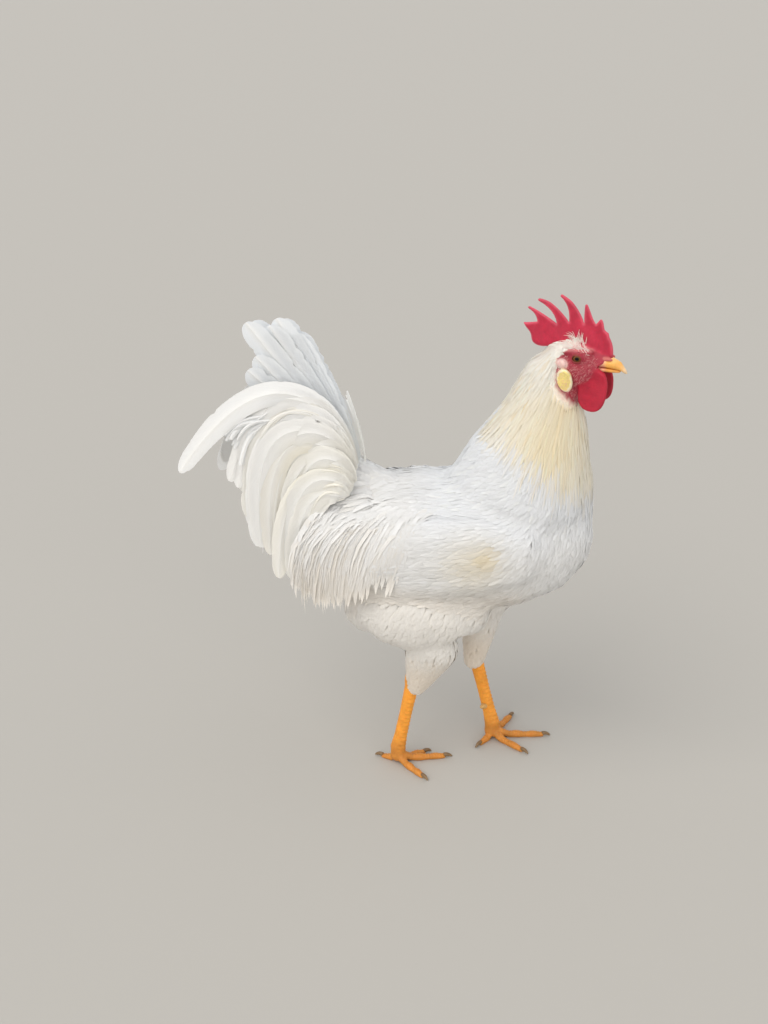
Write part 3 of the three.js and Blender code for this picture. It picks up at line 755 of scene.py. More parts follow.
SIDED = ["wattle", "earlobe", "wing", "thigh", "drumstick", "shank", "foot"]
FLESH = ["trunk", "neck", "head", "comb", "saddle", "tail_base", "undertail"]
FLESH += [f"{part}_{side}" for part in SIDED for side in SIDES]


def skin():
    """One skin over the whole bird: body, neck, head with comb and wattles, legs and toes."""
    points, triangles = head.surface()
    parts = [skin_body.coarser().surface(), (from_head(points), triangles)]
    for top, foot, toes in LEGS:
        room = Field((foot[0] - 32, foot[1] - 40, -3), (foot[0] + 68, foot[1] + 52, 132), LEG_PITCH)
        parts.append(room.like(leg_form(room, top, foot, toes)).surface())
    points, triangles = made_by_joining(parts)
    made = make_object("skin", points, triangles, bare_skin())
    paint(made, "skin_colour", skin_colours(points))
    return shown(made, "face", *FLESH)


def feather_edge(z):
    """How far forward on the head the feathers reach at each height."""
    return np.interp(z, [440, 446, 452, 460, 470, 484, 494, 498, 501, 505], [18, 14, 9, 2, -2, -3.5, -2, 5, 10, 16])


def either_side(place, part):
    """Distance to the nearer of a pair of the head's parts, at places in the head's own frame."""
    return np.minimum(*(head.at(place, head_parts[f"{part}_{side}"]) for side in SIDES))


def skin_colours(points):
    """Red comb and wattles, pink face, ivory lobes, yellow legs, and pale skin under the feathers."""
    place = to_head(points)
    x, y, z = place.T
    on_head = (z > 430) & (np.abs(x - 5) < 50)
    comb = ramp(np.where(on_head, head.at(place, head_parts["comb"]), FAR), 1.6, 0.2)
    comb = comb * ramp(z + 10 * ramp(x, 6, -8), 496, 500)
    wattle, lobe, ear, flap = (
        ramp(np.where(on_head, either_side(place, part), FAR), off, on)
        for part, off, on in (("wattle", 1.4, 0.2), ("lobe", 0.9, 0.15), ("ear", 1.6, 0.2), ("flap", 0.8, 0.1))
    )
    bare = x - feather_edge(z) + 5 * ramp(z, 496, 501)
    face = on_head * ramp(bare, -1.5, 1.5) * ramp(z, 436, 442)
    # painted shade: a dark ring in the crease round each eye opening
    painted_eye_shade = ramp(np.abs(np.hypot(x - EYE[0], z - EYE[2]) - 4.2), 1.5, 0.3) * (np.abs(y) > 8)
    inner = np.clip(1 - np.hypot((x - LOBE[0]) / LOBE_WIDE, (z - LOBE[2]) / LOBE_HIGH), 0, 1)
    pits = np.sin(2.3 * z - 1.4 * x + 2 * np.sin(0.9 * x))
    depth = inside_outline(curved_outline(COMB), x, z)
    rim = comb * ramp(depth, 3.0, 0.4)
    leg = ramp(points[:, 2], 146, 138) * ramp(coat.at(points), -1.1, -0.5)
    foot = ramp(points[:, 2], 44, 10)
    shares = [
        ("#E9D3C4", 1.0),
        ("#A33343", face),
        ("#DE8F8E", 0.7 * face * ramp(z, 500, 504) * ramp(z, 512, 507)),
        ("#D98A7C", 0.5 * flap),
        # painted shade round the eye openings
        ("#86382F", 0.85 * painted_eye_shade * face),
        ("#B92742", comb),
        ("#E0667A", 0.5 * rim),
        ("#AC1B34", wattle),
        ("#EFD2CB", 0.9 * ear),
        ("#F1E9C6", lobe),
        ("#E9D688", lobe * ramp(inner + 0.05 * np.sin(1.1 * z + 0.7 * x), 0.1, 0.22)),
        ("#DCC873", 0.55 * lobe * ramp(pits, 0.2, 1) * ramp(inner, 0.1, 0.3)),
        ("#EE9D38", leg),
        ("#BE7C36", 0.8 * leg * foot),
    ]
    painted = shade_of(points, shares)
    covered = np.clip(1 - on_head * ramp(bare, -3, 0) - leg - comb, 0, 1)[:, None]
    return mix(painted, plumage(points, "hackle"), covered)


# ---------------------------------------------------------------- eyes, beak, claws


def rings_to_mesh(rings):
    """A closed tube from rings of equally many points, closed at both ends by a pole."""
    rings = np.asarray(rings, float)
    count, sides = rings.shape[:2]
    points = np.concatenate([rings.reshape(-1, 3), [rings[0].mean(0), rings[-1].mean(0)]])
    i, j = np.meshgrid(np.arange(count - 1), np.arange(sides), indexing="ij")
    a = i * sides + j
    b = i * sides + (j + 1) % sides
    faces = np.concatenate([np.stack([a, b, b + sides], -1), np.stack([a, b + sides, a + sides], -1)]).reshape(-1, 3)
    k = np.arange(sides)
    start = np.stack([np.full(sides, count * sides), (k + 1) % sides, k], -1)
    last = (count - 1) * sides
    end = np.stack([np.full(sides, count * sides + 1), last + k, last + (k + 1) % sides], -1)
    return points, np.concatenate([faces, start, end])


def eye(word, side):
    """A glossy eyeball, a little flat: black pupil, olive-amber iris with fine spokes, dark rim."""
    turns = np.linspace(0, np.pi, 40)
    around = np.linspace(0, 2 * np.pi, 64, endpoint=False)
    off, spin = np.meshgrid(turns[1:-1], around, indexing="ij")
    radius = EYE_RADIUS * (1 + 0.035 * ramp(off, 0.75, 0.3))
    outward = np.stack([np.sin(off) * np.cos(spin), side * np.cos(off), np.sin(off) * np.sin(spin) * side], -1)
    tilt = Matrix.Rotation(math.radians(-8 * side), 3, "Z")
    rings = (outward * radius[..., None] * (1, 1, 0.88)) @ np.array(tilt).T + on_side(EYE, side)
    points, triangles = rings_to_mesh(rings)
    off = np.concatenate([off.ravel(), [0, np.pi]])
    spin = np.concatenate([spin.ravel(), [0, 0]])
    made, tree = material("eyeball_" + word)
    finish_material(tree, Base_Color=reading(tree, "iris"), Roughness=0.1, IOR=1.38, Specular_IOR_Level=0.3)
    eyeball = make_object("eyeball_" + word, from_head(points), triangles, made)
    spokes = 0.5 + 0.5 * np.sin(spin * 26 + 2 * np.sin(spin * 5))
    shares = [
        ("#3A2418", 1.0),
        ("#8C5C2E", ramp(off, 0.66, 0.56)),
        ("#62431F", 0.6 * spokes * ramp(off, 0.66, 0.56)),
        ("#4A3018", ramp(off, 0.46, 0.34)),
        ("#080505", ramp(off, 0.34, 0.3)),
    ]
    paint(eyeball, "iris", shade_of(points, shares))
    shown(eyeball, "eye", "eye_" + word)


UPPER_BEAK = [
    [33, 490.5, 9.2, 5.4], [42, 490.6, 7.8, 5.8], [50, 490.0, 6.2, 5.8], [57, 487.7, 4.3, 4.5],
    [62.3, 484.3, 2.4, 2.8], [64.8, 481.2, 0.8, 1.1],
]
LOWER_BEAK = [
    [33, 483.6, 8.2, 3.4], [42, 483.3, 6.6, 3.4], [50, 482.8, 4.8, 2.8], [56.5, 482.1, 2.8, 1.7], [59, 482, 1.3, 0.9],
]


def beak():
    """Upper beak with ridge, nostril and hooked tip, and the lower beak that closes inside it."""
    f = Field((32, -11, 476), (68, 11, 499), BEAK_PITCH)
    ridge = limb(f, (44, 0, 494.6), (58, 0, 490.6), 1.6, 1.2)
    hook = limb(f, (59, 0, 487), (65.0, 0, 480.6), 2.4, 0.75)
    edge = 484.9 - 0.9 * ramp(f.x, 44, 58) - 3.4 * ramp(f.x, 58, 64)
    upper = join(join(smooth_loft(f, UPPER_BEAK, (3, 1.5)), ridge, 2.5), hook, 1.5)
    upper = carve(upper, f.z - edge, 0.4)
    for side in SIDES.values():
        upper = carve(upper, ball(f, on_side(NOSTRIL, side), NOSTRIL_SIZE), 0.4)
    lower = carve(smooth_loft(f, LOWER_BEAK, (3, 2.0)), edge - 0.25 - f.z, 0.3)
    for name, field, base in (("upper", upper, "#EFB056"), ("lower", lower, "#E5A14C")):
        points, triangles = f.like(field).surface()
        made = make_object("bill_" + name, from_head(points), triangles, horn("beak_horn_" + name, 0.32))
        x, z = points[:, 0], points[:, 2]
        shares = [
            (base, 1.0),
            ("#F0C98A", 0.7 * ramp(z, 491, 495)),
            ("#D48A2E", 0.7 * ramp(np.abs(z - 484.6), 1.6, 0.4) * ramp(x, 60, 52)),
            ("#E9D3B0", 0.8 * ramp(x, 58, 65)),
            ("#E7A99A", 0.7 * ramp(x, 47, 41)),
        ]
        paint(made, "horn_colour", shade_of(points, shares))
        shown(made, "beak", "beak_" + name)


def tapered(path, radii, sides=14, flat=1.0):
    """Rings along a path of points, round it by those radii, their height times flat."""
    path = np.array(path, float)
    ahead = unit(np.gradient(path, axis=0))
    across = unit(np.cross(ahead, (0, 0, 1.0)))
    up = np.cross(across, ahead)
    turn = np.linspace(0, 2 * np.pi, sides, endpoint=False)
    ring = np.cos(turn)[None, :, None] * across[:, None] + flat * np.sin(turn)[None, :, None] * up[:, None]
    return path[:, None] + ring * np.array(radii)[:, None, None]


def claws():
    """Eight blunt, slightly hooked claws and a small spur inside each shank."""
    s = np.linspace(0, 1, 9)
    claw, spur = [], []
    for _, foot, toes in LEGS:
        for direction, length, *_ in toes:
            c, d = heading(direction)
            reach = length + 0.8 + 9.4 * s
            height = 3.6 + 0.9 * np.sin(np.pi * s) - 2.5 * s**2
            path = np.stack([foot[0] + c * reach, foot[1] + d * reach, height], -1)
            claw.append(rings_to_mesh(tapered(path, 2.3 * np.sqrt(1 - 0.93 * s**1.6), flat=1.1)))
    for (x, y, z), direction in (((-45, -36, 40), 125), ((45, 24.5, 45), -115)):
        c, d = heading(direction)
        path = np.stack([x + 11.5 * c * s, y + 11.5 * d * s, z + 2.2 * s**2], -1)
        spur.append(rings_to_mesh(tapered(path, 4.2 * np.sqrt(1 - 0.9 * s**1.5))))
    toes = [f"claw_{toe}_{side}" for toe in ("hallux", "inner", "middle", "outer") for side in SIDES]
    spurs = [f"spur_{side}" for side in SIDES]
    for kind, meshes, nodes, base in (("claw", claw, toes, "#7A5F3E"), ("spur", spur, spurs, "#C9A062")):
        points, triangles = merged(meshes)
        made = make_object(kind + "s", points, triangles, horn(kind + "_horn", 0.4))
        worn = 0.6 * ramp(points[:, 2], 4.2, 1.2)  # the tips are worn pale on the ground
        paint(made, "horn_colour", shade_of(points, [(base, 1.0), ("#A08A6C", worn)]))
        shown(made, "claw", *nodes)


body_skin = skin()
for word, side in SIDES.items():
    eye(word, side)
beak()
claws()

# ---------------------------------------------------------------- the coat

rng = np.random.default_rng(7)
outer_points, outer_triangles = coat.surface()


def scattered(count):
    """Points spread evenly at random over the coat's outer form, with the nearest part of the bird for each."""
    a, b, c = (outer_points[outer_triangles[:, i]] for i in range(3))
    areas = np.linalg.norm(np.cross(b - a, c - a), axis=1)
    chosen = rng.choice(len(areas), count, p=areas / areas.sum())
    u, v = rng.random((2, count, 1))
    over = u + v > 1
    u, v = np.where(over, 1 - u, u), np.where(over, 1 - v, v)
    points = a[chosen] + u * (b - a)[chosen] + v * (c - a)[chosen]
    nearest = np.argmin([body.at(points, field) for field in group_fields.values()], axis=0)
    return points, np.array(list(GROUPS))[nearest]


def kept_apart(points, apart):
    """Which of the points to keep so that no two are nearer than that."""
    tree = kdtree.KDTree(len(points))
    for i, point in enumerate(points):
        tree.insert(point, i)
    tree.balance()
    free = np.ones(len(points), bool)
    kept = []
    for i, point in enumerate(points):
        if free[i]:
            kept.append(i)
            for _, j, _ in tree.find_range(point, apart):
                free[j] = False
    return np.array(kept, int)


class Feathers:
    """A batch of feathers: paths of ring centres, the normals there, and each ring's half width.

    Each vane is tilted a little at random about its shaft, and its edges fall to follow the curve of the form below.
    """

    def __init__(self, paths, normals, halves, shares, thickness, camber, roll, form):
        ahead = unit(np.gradient(paths, axis=1))
        across = unit(np.cross(normals, ahead))
        level = form.at(paths)
        past = [form.at(paths + way * across * halves[..., None]) - level for way in (-1, 1)]
        self.falls = [np.clip(fall, 0, 0.6 * halves)[..., None] for fall in past]
        tilt = np.radians(rng.normal(0, roll, len(paths)))[:, None, None]
        self.normals = unit(np.cos(tilt) * np.cross(ahead, across) + np.sin(tilt) * across)
        self.paths, self.halves = paths, halves
        self.shares, self.thickness, self.camber = shares, thickness, camber
        self.colours = None


# Shares of the length at which a feather has its rings, and its half width there as a share of the widest.
ROUND = ((0.0, 0.3, 0.6, 0.8, 0.93, 0.985, 1.0), (0.35, 0.85, 1.0, 0.95, 0.72, 0.4, 0.0))
LOCK = ((0.0, 0.2, 0.45, 0.7, 0.87, 0.96, 1.0), (0.5, 0.85, 1.0, 0.95, 0.7, 0.4, 0.0))
LANCE = ((0.0, 0.25, 0.5, 0.7, 0.85, 0.95, 1.0), (0.5, 0.9, 1.0, 0.8, 0.48, 0.22, 0.0))
POINTED = ((0.0, 0.2, 0.45, 0.68, 0.84, 0.95, 1.0), (0.5, 0.85, 1.0, 0.9, 0.62, 0.3, 0.0))


def laid(roots, flow, lengths, widths, profile, depth, lift, yaw, roll, thickness=0.18, camber=0.03, form=coat):
    """Feathers that run with the flow from roots that deep under the form to tips that far above it.

    Yaw and roll are how much they turn and tilt at random, in degrees.
    """
    shares, half = (np.array(row) for row in profile)
    count = len(roots)
    lengths = np.broadcast_to(lengths, count)
    lift = np.broadcast_to(lift, count)
    turn = np.radians(rng.normal(0, yaw, count))[:, None]
    p = roots.copy()
    paths, normals = [], []
    for k, share in enumerate(shares):
        n = form.outward(p)
        g = flow(p)
        t = unit(g - n * np.sum(g * n, -1, keepdims=True))
        t = np.cos(turn) * t + np.sin(turn) * np.cross(n, t)
        if k:
            p = p + t * ((share - shares[k - 1]) * lengths)[:, None]
            n = form.outward(p)
        height = -depth * (1 - share) ** 2.4 + lift * share**2
        p = p - n * (form.at(p) - height)[:, None]
        paths.append(p)
        normals.append(n)
    halves = half[None] * np.broadcast_to(widths, count)[:, None] / 2
    return Feathers(np.stack(paths, 1), np.stack(normals, 1), halves, shares, thickness, camber, roll, form)


def vane_mesh(f):
    """Closed thin vanes: left edge, raised shaft line, right edge and underside, drawn in to a point at both ends."""
    count, rings = f.halves.shape
    ahead = unit(np.gradient(f.paths, axis=1))
    across = unit(np.cross(f.normals, ahead))
    up = np.cross(ahead, across)
    half = np.maximum(f.halves, 0.02)[..., None]
    thick = f.thickness * np.minimum(1, half / 1.5)
    low = -2 * f.camber * half
    left = f.paths - across * half + up * (low - f.falls[0])
    right = f.paths + across * half + up * (low - f.falls[1])
    top = f.paths + up * thick * 0.6
    under = f.paths - up * thick * 0.4
    ring = np.stack([left, under, right, top], 2)[:, 1:-1]  # the first and last rings are the poles
    inner = rings - 2
    size = inner * 4 + 2
    points = np.concatenate([f.paths[:, :1], ring.reshape(count, -1, 3), f.paths[:, -1:]], 1)
    k = np.arange(4)
    faces = []
    for i in range(inner - 1):
        a, b = 1 + i * 4 + k, 1 + i * 4 + (k + 1) % 4
        faces += [np.stack([a, b, b + 4], -1), np.stack([a, b + 4, a + 4], -1)]
    first, last = 1 + k, 1 + (inner - 1) * 4 + k
    faces.append(np.stack([np.zeros(4, int), np.roll(first, -1), first], -1))
    faces.append(np.stack([np.full(4, size - 1), last, np.roll(last, -1)], -1))
    faces = np.concatenate(faces)
    triangles = (faces[None] + (np.arange(count) * size)[:, None, None]).reshape(-1, 3)
    across_share = np.concatenate([[0], np.tile([-1.0, 0.0, 1.0, 0.0], inner), [0]])
    along = np.concatenate([[0], np.repeat(f.shares[1:-1], 4), [1]])
    return points.reshape(-1, 3), triangles, size, across_share, along


def finished_coat(name, slot, meshes, look, bake, vane, colours, crease, nodes=()):
    """Joins the meshes of a piece's feathers, with their two maps and their colours."""
    uvs = {"OFBake": bake, "vane": np.concatenate(vane)}
    made = make_object(name, *merged(meshes), look, uvs, crease)
    paint(made, "plumage_colour", np.concatenate(colours))
    return shown(made, slot, *nodes)


def plant(name, slot, feathers, look, unwrap, centre=(0, 285)):
    """Makes one coat piece from batches of feathers.

    unwrap is the axis round which the skin is laid flat for the tufts' baked map: 0 along the body, 2 up the neck or
    leg. centre is where that axis lies.
    """
    meshes, vane, place, colours = [], [], [], []
    for f in feathers:
        points, triangles, size, across, along = vane_mesh(f)
        meshes.append((points, triangles))
        x, y, z = f.paths[:, 0].T
        if unwrap == 0:
            spot = np.stack([np.arctan2(y - centre[0], z - centre[1]), x], -1)
        else:
            spot = np.stack([np.arctan2(y - centre[1], x - centre[0]), z], -1)
        on_tuft = np.stack([across / 2 + 0.5, along], -1)
        place.append(np.concatenate([np.repeat(spot, size, 0), np.tile(on_tuft, (len(spot), 1))], 1))
        length = np.linalg.norm(np.diff(f.paths, axis=1), axis=-1).sum(1)
        u = across[None] * f.halves.max(1)[:, None] / VANE_MAP[0] + 0.5
        vane.append(np.stack([u.ravel(), (along[None] * length[:, None] / VANE_MAP[1]).ravel()], -1))
        colours.append(np.repeat(f.colours, size, 0))
    place = np.concatenate(place)
    low, high = place[:, :2].min(0), place[:, :2].max(0)
    bake = (place[:, :2] - low) / (high - low) * (1 - 2 * PATCH) + PATCH / 2 + PATCH * place[:, 2:]
    return finished_coat(name, slot, meshes, look, bake, vane, colours, 60)


def feather_look(name, streak, gleam):
    """White feather: barbs run out from the shaft as fine slanting lines, which break up the light along each vane.

    A soft sheen brightens the edges that face away, and light soaks in a little, as in a thick pale coat.
    """
    made, tree = material(name)
    vane = add(tree, "ShaderNodeUVMap", {"uv_map": "vane"})
    split = add(tree, "ShaderNodeSeparateXYZ", Vector=vane)
    side = add(tree, "ShaderNodeMath", {"operation": "SUBTRACT"}, _0=split, _1=0.5)
    out = add(tree, "ShaderNodeMath", {"operation": "ABSOLUTE"}, _0=side)
    slant = add(tree, "ShaderNodeMath", {"operation": "MULTIPLY"}, _0=out, _1=0.75)
    along = add(tree, "ShaderNodeMath", {"operation": "SUBTRACT"}, _0=split.outputs["Y"], _1=slant)
    barbs = add(tree, "ShaderNodeCombineXYZ", X=split, Y=along)
    relief = None
    for place, stretch, detail, rough in (
        (barbs, (30, 900, 1), 3.0, 0.7),  # single barbs, drawn about 0.5 mm apart so that they show
        (vane, (260, 12, 1), 2.0, 0.5),  # fine lines that run with the shaft
        (barbs, (6, 170, 1), 2.0, 0.5),  # barbs that cling together, about 2.5 mm wide
    ):
        stretched = add(tree, "ShaderNodeVectorMath", {"operation": "MULTIPLY"}, _0=place, _1=stretch)
        lines = add(tree, "ShaderNodeTexNoise", Vector=stretched, Scale=1.0, Detail=detail, Roughness=rough)
        relief = add(tree, "ShaderNodeMath", {"operation": "ADD"}, _0=relief, _1=lines) if relief else lines
    tone = add(tree, "ShaderNodeMapRange", Value=relief, From_Min=1.15, From_Max=1.85, To_Min=1 - streak, To_Max=1.0)
    shaded = add(tree, "ShaderNodeVectorMath", {"operation": "SCALE"}, _0=reading(tree, "plumage_colour"), Scale=tone)
    bump = add(tree, "ShaderNodeBump", Strength=0.25, Distance=0.0003, Height=relief)
    finish_material(
        tree,
        Base_Color=shaded,
        Normal=bump,
        Roughness=0.62,
        IOR=1.5,
        Specular_IOR_Level=gleam,
        Sheen_Weight=0.12,
        Sheen_Roughness=0.5,
        Subsurface_Weight=0.3,
        Subsurface_Radius=(0.005, 0.0046, 0.004),
        Subsurface_Scale=1.0,
    )
    return made


# ---------------------------------------------------------------- how the feathers lie


def neck_flow(p):
    """Down the neck from the crown, spreading over the shoulders."""
    g = p - np.array([140.0, 0, 565])
    g[:, 0] += 26 * ramp(p[:, 2], 430, 350) * ramp(p[:, 0], 60, 130)
    return g


def body_flow(p):
    """Down the breast, then back along the sides, the wings and the back."""
    front = ramp(p[:, 0], 40, 135)
    belly = ramp(p[:, 2], 250, 205)
    fall = mix(0.28, 1.5, front) * ramp(np.abs(p[:, 1]), 0, 45) + 0.9 * front
    rear = ramp(p[:, 0], -70, -100) * ramp(p[:, 2], 345, 325)
    fall = mix(fall * (1 - 0.8 * belly), 2.2, rear)
    return np.stack([-np.ones(len(p)), 0.6 * np.sign(p[:, 1]) * rear, -fall], -1)


def saddle_flow(p):
    """Back over the loin and down, ever steeper toward the rear."""
    side = np.abs(p[:, 1])
    fall = 0.15 + 1.15 * ramp(side, 10, 75) + 0.9 * ramp(p[:, 0], -40, -130) * ramp(side, 5, 50)
    return np.stack([-np.ones(len(p)), 0.35 * np.sign(p[:, 1]) * ramp(side, 60, 0), -fall], -1)


def leg_flow(p):
    """Down and a little back, more so on the thigh."""
    fluff = ramp(p[:, 2], 150, 190)
    return np.stack([-0.25 - 0.3 * fluff, 0 * fluff, -np.ones(len(p))], -1)


def tinted(f, kind, spread=0.035, warm=0.0, warm_code="#E6D2A2"):
    """Gives each feather the coat's colour near its tip, a little lighter, darker or warmer than its neighbours'."""
    base = plumage(f.paths[:, -2], kind)
    tone = 1 + rng.normal(0, spread, len(base))[:, None]
    share = np.clip(rng.normal(0, warm, len(base)), 0, 1)[:, None] if warm else 0
    f.colours = np.clip(mix(base, np.array(colour(warm_code)[:3]), share) * tone, 0, 0.93)
    return f


def swept(roots, corners, tips, widths, profile, over, thickness=0.2, camber=0.03, roll=4.0):
    """Feathers along bowed paths from their roots to free tips, pushed out to lie at least over mm above the coat."""
    shares, half = (np.array(row) for row in profile)
    paths = bowed(roots[:, None], corners[:, None], tips[:, None], shares[None, :, None])
    for _ in range(2):
        away = coat.at(paths)
        wanted = mix(-4.0, over[:, None], ramp(shares, 0.05, 0.45)[None])
        move = np.where(shares < 0.3, wanted - away, np.maximum(wanted - away, 0))
        paths = paths + coat.outward(paths) * move[..., None]
    halves = half[None] * np.broadcast_to(widths, len(roots))[:, None] / 2
    return Feathers(paths, coat.outward(paths), halves, shares, thickness, camber, roll, coat)


def on_coat(points):
    """The places on the coat's outer form that are nearest to the points."""
    for _ in range(4):
        points = points - coat.outward(points) * coat.at(points)[:, None]
    return points


def hanging_strands(side, count, width, profile, over):
    """Saddle hackles: they spring from the loin, bow out over the rump and hang in a fringe of points."""
    u = rng.random(count) ** 0.75
    jitter = rng.normal(0, 1, (count, 6))
    spread = np.abs(mix(54, 32, u) + 7 * jitter[:, 1])
    roots = on_coat(np.stack([mix(-10, -80, u) + 6 * jitter[:, 0], side * spread, 348 + 0 * u], -1))
    x = np.interp(u, [0, 0.25, 0.5, 0.75, 1], [-50, -80, -108, -130, -148]) + 5 * jitter[:, 2]
    z = np.interp(u, [0, 0.25, 0.5, 0.75, 1], [262, 246, 226, 230, 240]) + 8 * jitter[:, 3]
    tips = np.stack([x, side * mix(76, 75, u), z], -1)
    reach = mix(0.62, 1.0, ramp(u, 0, 0.6))
    out = mix(68, 84, ramp(u, 0.3, 1)) + 2 * jitter[:, 4]
    corners = np.stack([mix(roots[:, 0], x, reach) - 12 * u, side * out, mix(roots[:, 2], z, 0.1)], -1)
    part = mix(0.55, 1.0, rng.random(count) ** 0.5)[:, None]  # the shorter ones end part of the way along the bow
    ends = bowed(roots, corners, tips, part)
    return swept(roots, mix(roots, corners, part), ends, width, profile, np.abs(0.18 * jitter[:, 5]) + over, roll=2)


def tail_coverts(side, count):
    """Soft feathers of the rump that rise over the roots of the sickles and bow down behind them.

    Those on the left keep off the ridge of the back and lie flatter.
    """
    u, v = rng.random((2, count))
    v = mix(0.55, 1, v) if side > 0 else v
    jitter = rng.normal(0, 1, (count, 6))
    roots = on_coat(np.stack([mix(-40, -98, u), side * (3 + 46 * v), 350 - 6 * v], -1))
    rise = mix(4, 1, v) * u if side < 0 else -6 * v
    corners = roots + np.stack([-26 - 9 * u + 3 * jitter[:, 0], side * (4 + 6 * v), rise + 2 * jitter[:, 1]], -1)
    drop = mix(0, -46, v**0.7) + 6 * jitter[:, 3]
    tips = roots + np.stack([-46 - 12 * u + 4 * jitter[:, 2], side * (8 + 12 * v), drop], -1)
    return swept(roots, corners, tips, 5.4, LANCE, np.abs(0.5 * jitter[:, 5]) + 0.2)


def root_collar(side, count):
    """Short soft feathers that stand up round the roots of the sickles and close the step to the back."""
    u, v = rng.random((2, count))
    v = mix(0.55 if side > 0 else 0.3, 1, v)
    jitter = rng.normal(0, 1, (count, 4))
    roots = on_coat(np.stack([mix(-72, -98, u), side * (4 + 44 * v), 350 - 6 * v], -1))
    rise = 1 if side < 0 else -0.4
    corners = roots + np.stack([np.full(count, -9.0), side * (3 + 5 * v), mix(12, 6, v) * rise], -1)
    climb = mix(17, -14, v) * rise + 4 * jitter[:, 1]
    tips = roots + np.stack([-32 - 8 * v + 4 * jitter[:, 0], side * (5 + 12 * v), climb], -1)
    return swept(roots, corners, tips, 6.0, LOCK, np.abs(0.4 * jitter[:, 2]) + 0.4, thickness=0.18)


def under_coverts(side, count):
    """Soft feathers under the tail that fill the space between its two curtains and hang over the vent."""
    u, v = rng.random((2, count))
    jitter = rng.normal(0, 1, (count, 4))
    back = np.where(rng.random(count) < 0.35, mix(-88, -112, u), -200)
    roots = on_coat(np.stack([back, side * (34 * v - 2), mix(336, 262, u)], -1))
    corners = roots + np.stack([-13 + 2 * jitter[:, 0], side * (2 + 4 * v), mix(-4, -12, u)], -1)
    tips = roots + np.stack([mix(-19, -4, u) + 3 * jitter[:, 1], side * (3 + 8 * v), -30 + 4 * jitter[:, 2]], -1)
    return swept(roots, corners, tips, 6.5, LOCK, np.abs(0.5 * jitter[:, 3]) + 0.3)


# Spacing in mm of the under feathers, the narrow ones, the hackle and the saddle, and how many strands hang.
SPACING = {"right": (4.7, 3.45, 2.6, 3.4, 700), "left": (5.2, 4.0, 3.2, 4.2, 420)}


